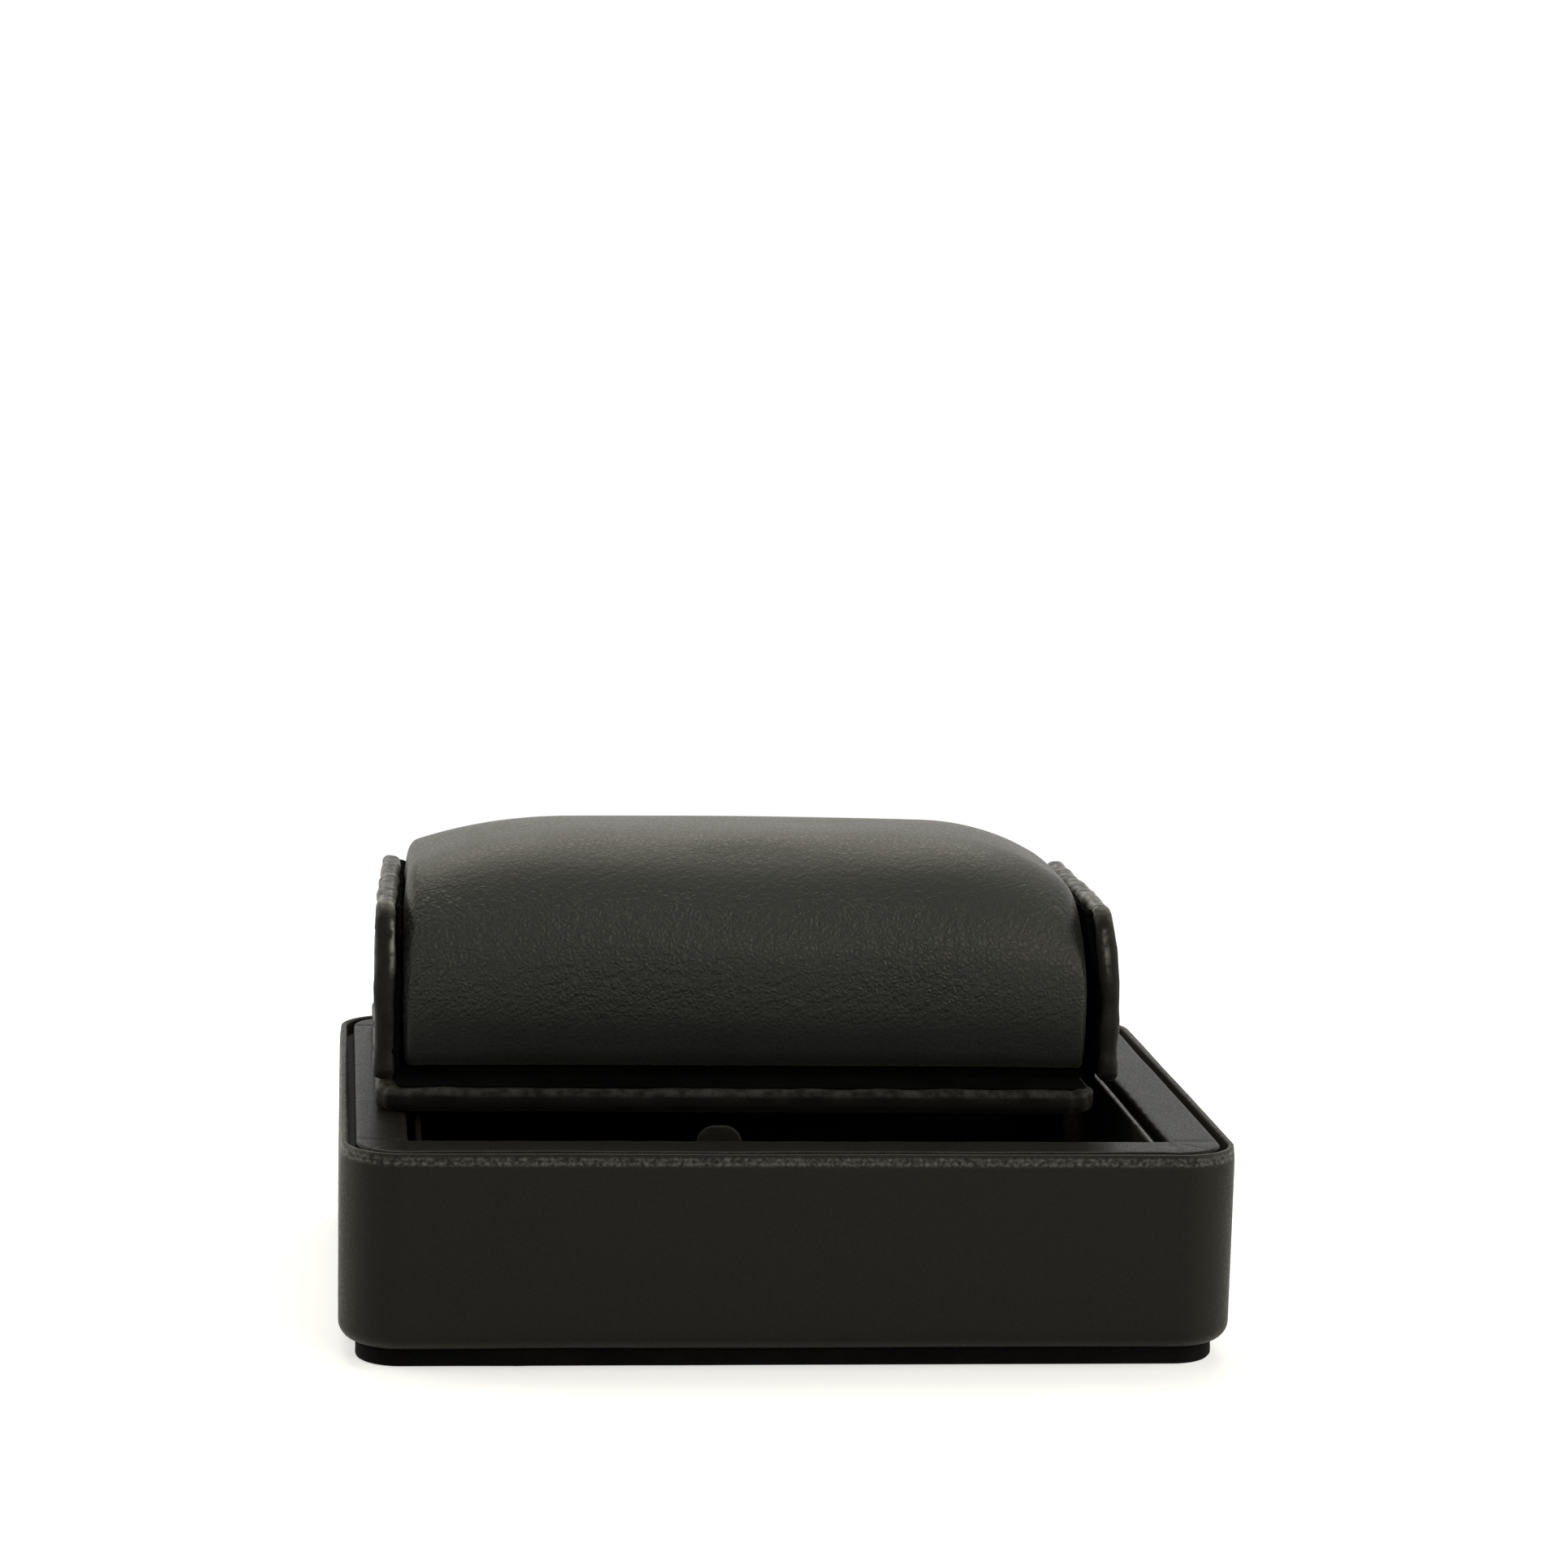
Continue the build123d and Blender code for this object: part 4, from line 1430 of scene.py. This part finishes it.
@dataclass
class WatchPillow:
    """Crowned leather pillow, drawn in towards its ends, on a stiff panel."""

    side_bulge: float = 1.9 * MM
    widest: float = 0.58
    crown: float = 1.4 * MM
    long_crown: float = 0.05 * MM
    shoulder: float = 15.0 * MM
    end_shoulder: float = 11.5 * MM
    tuck: float = 2.4 * MM
    end_tuck: float = 1.4 * MM
    end_drop: tuple[float, float] = (4.3 * MM, 6.7 * MM)
    end_draw: float = 0.8 * MM
    reach: tuple[float, float] = (25.0 * MM, 21.0 * MM)
    roll_low: float = 0.8 * MM
    roll_high: tuple[float, float] = (1.6 * MM, 3.0 * MM)
    end_bulge: float = 0.35 * MM
    right_gap: float = 0.5 * MM
    follow: float = 0.45
    slack: float = 0.15 * MM
    headroom: float = 0.35 * MM
    around: int = 128
    swell_cap: float = 0.6 * MM
    swell_frames: int = 20
    sim_scale: float = 10.0

    def outline(self, place: float, half_length: float, half_depth: float, height: float) -> np.ndarray:
        """Closed section of the pillow, as offsets in Y and heights above its underside.

        Args:
            place: the distance from the pillow's middle along X.
            half_length: half of its length.
            half_depth: half of its depth at the middle.
            height: its height at the middle.

        Returns:
            Evenly spaced points, from the middle of the underside round by the rear.
        """
        from_end = half_length - abs(place)
        reach = self.reach[int(place > 0)]
        share = (max(reach - from_end, 0) / reach) ** 2
        side = half_depth - self.side_bulge
        top = height - self.end_drop[int(place > 0)] * share - self.crown
        top -= self.long_crown * (place / half_length) ** 2
        corner_low = self.tuck - (self.tuck - self.end_tuck) * share
        corner_high = self.shoulder - (self.shoulder - self.end_shoulder) * share
        line = [(0.0, 0.0)]
        line += arc((side - corner_low, corner_low), corner_low, -90, 0, 40)
        line += arc((side - corner_high, top - corner_high), corner_high, 0, 90, 60)
        line += arc((-side + corner_high, top - corner_high), corner_high, 90, 180, 60)
        line += arc((-side + corner_low, corner_low), corner_low, 180, 270, 40)
        line += [(0.0, 0.0)]
        line = np.array(line)
        steps = np.linalg.norm(np.diff(line, axis=0), axis=1)
        along = np.concatenate([[0], np.cumsum(steps)])
        even = np.linspace(0, along[-1], self.around, endpoint=False)
        points = np.column_stack([np.interp(even, along, line[:, k]) for k in (0, 1)])
        level = points[:, 1] / top
        points[:, 1] += self.crown * smooth(level, 0.3, 1.0) * (1 - (points[:, 0] / side) ** 2).clip(0)
        away = np.where(level < self.widest, self.widest - level, (level - self.widest) * 1.1) / self.widest
        bulge = self.side_bulge * (1 - away**2).clip(0)
        draw = self.end_draw * share * smooth(level, 0.5, 1.0)
        points[:, 0] += np.sign(points[:, 0]) * (bulge - draw)
        return points

    def rim(
        self, angle: float, sign: int, half_length: float, half_depth: float, height: float
    ) -> np.ndarray:
        """One turn round an end's rolled edge, which is softer at the top than low down.

        Args:
            angle: how far round the roll, from 0 on the sides to a quarter turn on the end.
            sign: -1 for the left end, 1 for the right.
            half_length: half of the pillow's length.
            half_depth: half of its depth.
            height: its height.

        Returns:
            The turn's points in three axes, from the middle of the underside.
        """
        high_roll, low_roll = self.roll_high[int(sign > 0)], self.roll_low
        left_over = 1 - math.sin(angle)
        upper = self.outline(sign * (half_length - high_roll * left_over), half_length, half_depth, height)
        lower = self.outline(sign * (half_length - low_roll * left_over), half_length, half_depth, height)
        softness = smooth(upper[:, 1] / upper[:, 1].max(), 0.4, 0.9)
        section = lower + (upper - lower) * softness[:, None]
        roll = low_roll + (high_roll - low_roll) * softness
        section = self.drawn_in(section, roll * (1 - math.cos(angle)))
        return np.column_stack([sign * (half_length - roll * left_over), section])

    def cover(self) -> bpy.types.Object:
        """Closed skin of the cover and its ends, swollen by a cloth simulation.

        Returns:
            The finished shape, with no material yet.
        """
        low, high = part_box("pillow_cover")
        end_low, end_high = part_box("pillow_end_left")[0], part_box("pillow_end_right")[1]
        right_end = end_high.x - self.right_gap
        half_length = (right_end - end_low.x) / 2
        middle = Vector(((right_end + end_low.x) / 2, (low.y + high.y) / 2, low.z))
        half_depth, height = (high.y - low.y) / 2 - self.slack, high.z - low.z - self.headroom
        size = (half_length, half_depth, height)
        straight = half_length - max(self.roll_high) - 0.5 * MM
        places = stations(2 * straight, 1.6 * MM, self.reach[0] / 2, 1.0 * MM)
        rows = [self.row(self.outline(place, *size), place) for place in places]
        for angle in np.linspace(0, np.pi / 2, 6):
            rows.append(self.rim(angle, 1, *size))
            rows.insert(0, self.rim(angle, -1, *size))
        edges = {-1: np.array(rows[0]), 1: np.array(rows[-1])}
        for share in np.linspace(1, 0, 12)[1:-1]:
            for sign, edge in edges.items():
                centre = np.array([0.0, height * 0.42])
                section = centre + (edge[:, 1:] - centre) * share
                place = sign * (half_length + self.end_bulge * (1 - share**2))
                rows.insert(len(rows) if sign > 0 else 0, self.row(section, place))
        skin = Skin()
        index = skin.points(np.array(rows) + np.array(middle))
        skin.quads(index, ring=True)
        skin.cap(index[0])
        skin.cap(index[-1])
        piece = skin.object("pillow_leather")
        self.swell(piece, middle, half_length)
        self.follow_ear(piece, middle, half_length)
        self.mark_creases(piece, middle)
        subdivision = piece.modifiers.new("smooth_skin", "SUBSURF")
        subdivision.render_levels = subdivision.levels = 1
        return piece

    def follow_ear(self, piece: bpy.types.Object, middle: Vector, half_length: float) -> None:
        """Gives way a little at the left end, where the toed-in ear presses on it.

        Args:
            piece: the cover.
            middle: the middle of its underside.
            half_length: half of its length.
        """
        points = points_of(piece)
        near = smooth(middle.x - points[:, 0], half_length - 16 * MM, half_length - 2 * MM)
        points[:, 0] += self.follow * near * lean(points, Side.LEFT)
        set_points(piece, points)

    @staticmethod
    def mark_creases(piece: bpy.types.Object, middle: Vector) -> None:
        """Marks the middle of the front and the back as worn, where straps have creased the grain.

        Args:
            piece: the cover.
            middle: the middle of its underside.
        """
        points = points_of(piece)
        level = points[:, 2] - middle.z
        band = smooth(level, 5 * MM, 13 * MM) * (1 - smooth(level, 23 * MM, 29 * MM))
        patches = 0.8 + 0.35 * drift(points, 16 * MM, 111)
        wear_and_highlight = np.clip(band * patches, 0, 1).astype(np.float32)
        piece.data.attributes["wear_and_highlight"].data.foreach_set("value", wear_and_highlight)

    @staticmethod
    def row(section: np.ndarray, place: float) -> np.ndarray:
        """Adds X to a section's points."""
        return np.column_stack([np.full(len(section), place), section])

    @staticmethod
    def drawn_in(section: np.ndarray, shrink: np.ndarray) -> np.ndarray:
        """Moves the points of a closed section inwards.

        Args:
            section: the points.
            shrink: how far each point moves.

        Returns:
            The section drawn in.
        """
        ahead, behind = np.roll(section, -1, 0), np.roll(section, 1, 0)
        along = ahead - behind
        inward = np.column_stack([-along[:, 1], along[:, 0]])
        inward /= np.maximum(np.linalg.norm(inward, axis=1), 1e-9)[:, None]
        return section + inward * shrink[:, None]

    def swell(self, piece: bpy.types.Object, middle: Vector, half_length: float) -> None:
        """Inflates the cover with the cloth simulation, its underside and end seams held.

        Args:
            piece: the cover.
            middle: the middle of its underside.
            half_length: half of its length.
        """
        start = points_of(piece)
        local = start - np.array(middle)
        from_seam = abs(abs(local[:, 0]) - (half_length - 1.2 * MM))
        by_floor = 1 - smooth(local[:, 2], 0.5 * MM, 7 * MM)
        by_seam = 1 - smooth(from_seam, 0.3 * MM, 1.0 * MM)
        hold = np.maximum(by_floor, by_seam)
        group = piece.vertex_groups.new(name="held")
        for number, weight in enumerate(hold):
            if weight > 0.01:
                group.add([number], float(weight), "REPLACE")
        set_points(piece, start * self.sim_scale)
        cloth = piece.modifiers.new("swell", "CLOTH")
        cloth.settings.quality = 6
        cloth.settings.vertex_group_mass = "held"
        cloth.settings.use_pressure = True
        cloth.settings.uniform_pressure_force = 4.0
        cloth.settings.effector_weights.gravity = 0.0
        cloth.settings.tension_stiffness = 30
        cloth.settings.bending_stiffness = 2.0
        cloth.point_cache.frame_start = 1
        cloth.point_cache.frame_end = self.swell_frames
        for number in range(1, self.swell_frames + 1):
            bpy.context.scene.frame_set(number)
        graph = bpy.context.evaluated_depsgraph_get()
        swollen = points_of(piece.evaluated_get(graph)) / self.sim_scale
        piece.modifiers.remove(cloth)
        bpy.context.scene.frame_set(1)
        move = (swollen - start).reshape(-1, self.around, 3)
        for _ in range(12):
            beside = (np.roll(move, 1, 1) + np.roll(move, -1, 1)) / 2
            ahead = (np.concatenate([move[:1], move[:-1]]) + np.concatenate([move[1:], move[-1:]])) / 2
            move = move / 2 + (beside + ahead) / 4
        move = move.reshape(-1, 3)
        size = np.linalg.norm(move, axis=1)
        capped = self.swell_cap * np.tanh(size / self.swell_cap) / np.maximum(size, 1e-9)
        set_points(piece, start + move * capped[:, None])
        log.info("pillow cover swelled by %.2f mm at most", size.max() / MM)

    def foam(self) -> None:
        """Foam core inside the cover."""
        low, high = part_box("pillow_foam")
        piece = boxed_slab("foam_core", low, high, Lie.FLAT, (6 * MM,) * 4, 5.5 * MM, 2 * MM)
        # Slightly uneven cut faces.
        push(piece, lambda points, normals: (
            0.15 * MM * drift(points, 8 * MM, 101) * smooth(normals[:, 2], -0.5, 0.5)))
        finish_piece(piece, FOAM, Body.PILLOW, "pillow_foam")

    def build(self) -> None:
        """Builds the pillow."""
        piece = self.cover()
        finish_piece(
            piece, PILLOW_LEATHER, Body.PILLOW, "pillow_cover", "pillow_end_left", "pillow_end_right")
        self.foam()
        dress_node("pillow_base", CARD)


@dataclass
class Studio:
    """Pale floor, soft light and the camera."""

    camera_place: tuple[float, float, float] = (-66.84 * MM, -626.51 * MM, 168.24 * MM)
    camera_yaw: float = math.radians(6.259)
    camera_pitch: float = math.radians(8.162)
    camera_roll: float = math.radians(1.555)
    focal_pixels: float = 5137.8
    image_pixels: float = 1932.0
    sensor: float = 36.0
    floor_half: float = 6.0
    floor_colour: Colour = (0.86, 0.86, 0.85)
    floor_lift: float = 0.5
    warm: Colour = (1.0, 0.965, 0.86)
    room_light: float = 0.3

    def camera(self) -> None:
        """Camera at the photograph's viewpoint."""
        data = bpy.data.cameras.new("camera")
        data.sensor_width = self.sensor
        data.lens = self.sensor * self.focal_pixels / self.image_pixels
        data.clip_start, data.clip_end = 0.01, 50.0
        camera = bpy.data.objects.new("camera", data)
        tilt = Matrix.Rotation(math.pi / 2 - self.camera_pitch, 4, "X")
        turn = Matrix.Rotation(-self.camera_yaw, 4, "Z") @ tilt
        turn = turn @ Matrix.Rotation(self.camera_roll, 4, "Z")
        camera.matrix_world = Matrix.Translation(self.camera_place) @ turn
        bpy.context.scene.collection.objects.link(camera)
        bpy.context.scene.camera = camera

    def floor(self) -> None:
        """Large pale floor, which shows white far from the object and keeps its shadow near it."""
        skin = Skin()
        line = stations(2 * self.floor_half, 0.5, 2.0, 0.5)
        x, y = np.meshgrid(line, line)
        skin.quads(skin.points(np.stack([x, y, np.zeros_like(x)], -1)))
        piece = skin.object("floor")
        material = bpy.data.materials.new("Pale floor")
        material.use_nodes = True
        material.node_tree.nodes.clear()
        net = Net(material.node_tree)
        paint = net.add("BsdfDiffuse", {"Color": (*self.floor_colour, 1.0)})
        glow = net.add("Emission", {"Color": (1.0, 1.0, 1.0, 1.0), "Strength": 1.0})
        lift = net.add("Emission", {"Color": (1.0, 1.0, 1.0, 1.0), "Strength": self.floor_lift})
        seen = self.seen(net)
        place = net.add("TexCoord").outputs["Object"]
        away = net.add("VectorMath", {0: place}, operation="LENGTH").outputs["Value"]
        far = net.ramp(away, 0.15, 0.45)
        near = net.add("AddShader", {0: paint.outputs[0], 1: lift.outputs[0]})
        shown = net.add("MixShader", {0: far, 1: near.outputs[0], 2: glow.outputs[0]})
        result = net.add("MixShader", {0: seen, 1: paint.outputs[0], 2: shown.outputs[0]})
        net.add("OutputMaterial", {"Surface": result.outputs[0]})
        piece.data.materials.append(material)

    @staticmethod
    def seen(net: Net) -> bpy.types.NodeSocket:
        """Picks the rays that show the background: camera, glossy and transmission rays.

        Args:
            net: the material's or world's nodes.

        Returns:
            A socket with 1 for those rays and 0 for the others.
        """
        path = net.add("LightPath").outputs
        mirrored = net.math("MAXIMUM", path["Is Glossy Ray"], path["Is Transmission Ray"])
        return net.math("MAXIMUM", path["Is Camera Ray"], mirrored)

    def world(self) -> None:
        """White background, and a soft room light that is stronger behind the object."""
        world = bpy.data.worlds.new("studio")
        bpy.context.scene.world = world
        world.use_nodes = True
        world.node_tree.nodes.clear()
        net = Net(world.node_tree)
        way = net.add("SeparateXYZ", {0: net.add("TexCoord").outputs["Generated"]}).outputs
        behind = net.ramp(way["Y"], -0.9, 0.5)
        strength = net.math("MULTIPLY", net.math("MULTIPLY_ADD", behind, 0.7, 0.3), self.room_light)
        room = net.add("Background", {"Color": (*self.warm, 1.0), "Strength": strength})
        white = net.add("Background", {"Color": (1.0, 1.0, 1.0, 1.0), "Strength": 1.0})
        result = net.add("MixShader", {0: self.seen(net), 1: room.outputs[0], 2: white.outputs[0]})
        net.add("OutputWorld", {"Surface": result.outputs[0]})

    def lamp(self, name: str, place: tuple[float, float, float], size: float, radiance: float) -> None:
        """Square soft light that faces the object.

        Args:
            name: its name.
            place: where it hangs.
            size: the length of its sides.
            radiance: how bright it looks, where white paper in plain light is 1.
        """
        data = bpy.data.lights.new(name, "AREA")
        data.shape = "SQUARE"
        data.size = size
        data.energy = radiance * math.pi * size**2
        data.color = self.warm
        lamp = bpy.data.objects.new(name, data)
        lamp.location = place
        lamp.rotation_euler = (Vector((0, 0, 0.04)) - Vector(place)).to_track_quat("-Z", "Y").to_euler()
        bpy.context.scene.collection.objects.link(lamp)

    def build(self) -> None:
        """Builds the whole studio."""
        self.camera()
        self.floor()
        self.world()
        self.lamp("rear_softbox", place=(0.0, 0.62, 1.1), size=1.0, radiance=3.0)
        self.lamp("front_softbox", place=(0.45, -1.05, 0.55), size=0.55, radiance=4.4)
        self.lamp("left_softbox", place=(-1.05, 0.3, 0.4), size=0.9, radiance=3.1)
        self.lamp("right_softbox", place=(1.02, -0.3, 0.42), size=0.7, radiance=4.6)
        bpy.context.scene.view_settings.view_transform = "Standard"


def main() -> None:
    """Builds every sub-assembly and the studio."""
    logging.basicConfig(level=logging.INFO, format="%(message)s")
    Tray().build()
    Stand().build()
    WatchPillow().build()
    Studio().build()


if __name__ == "__main__":
    main()
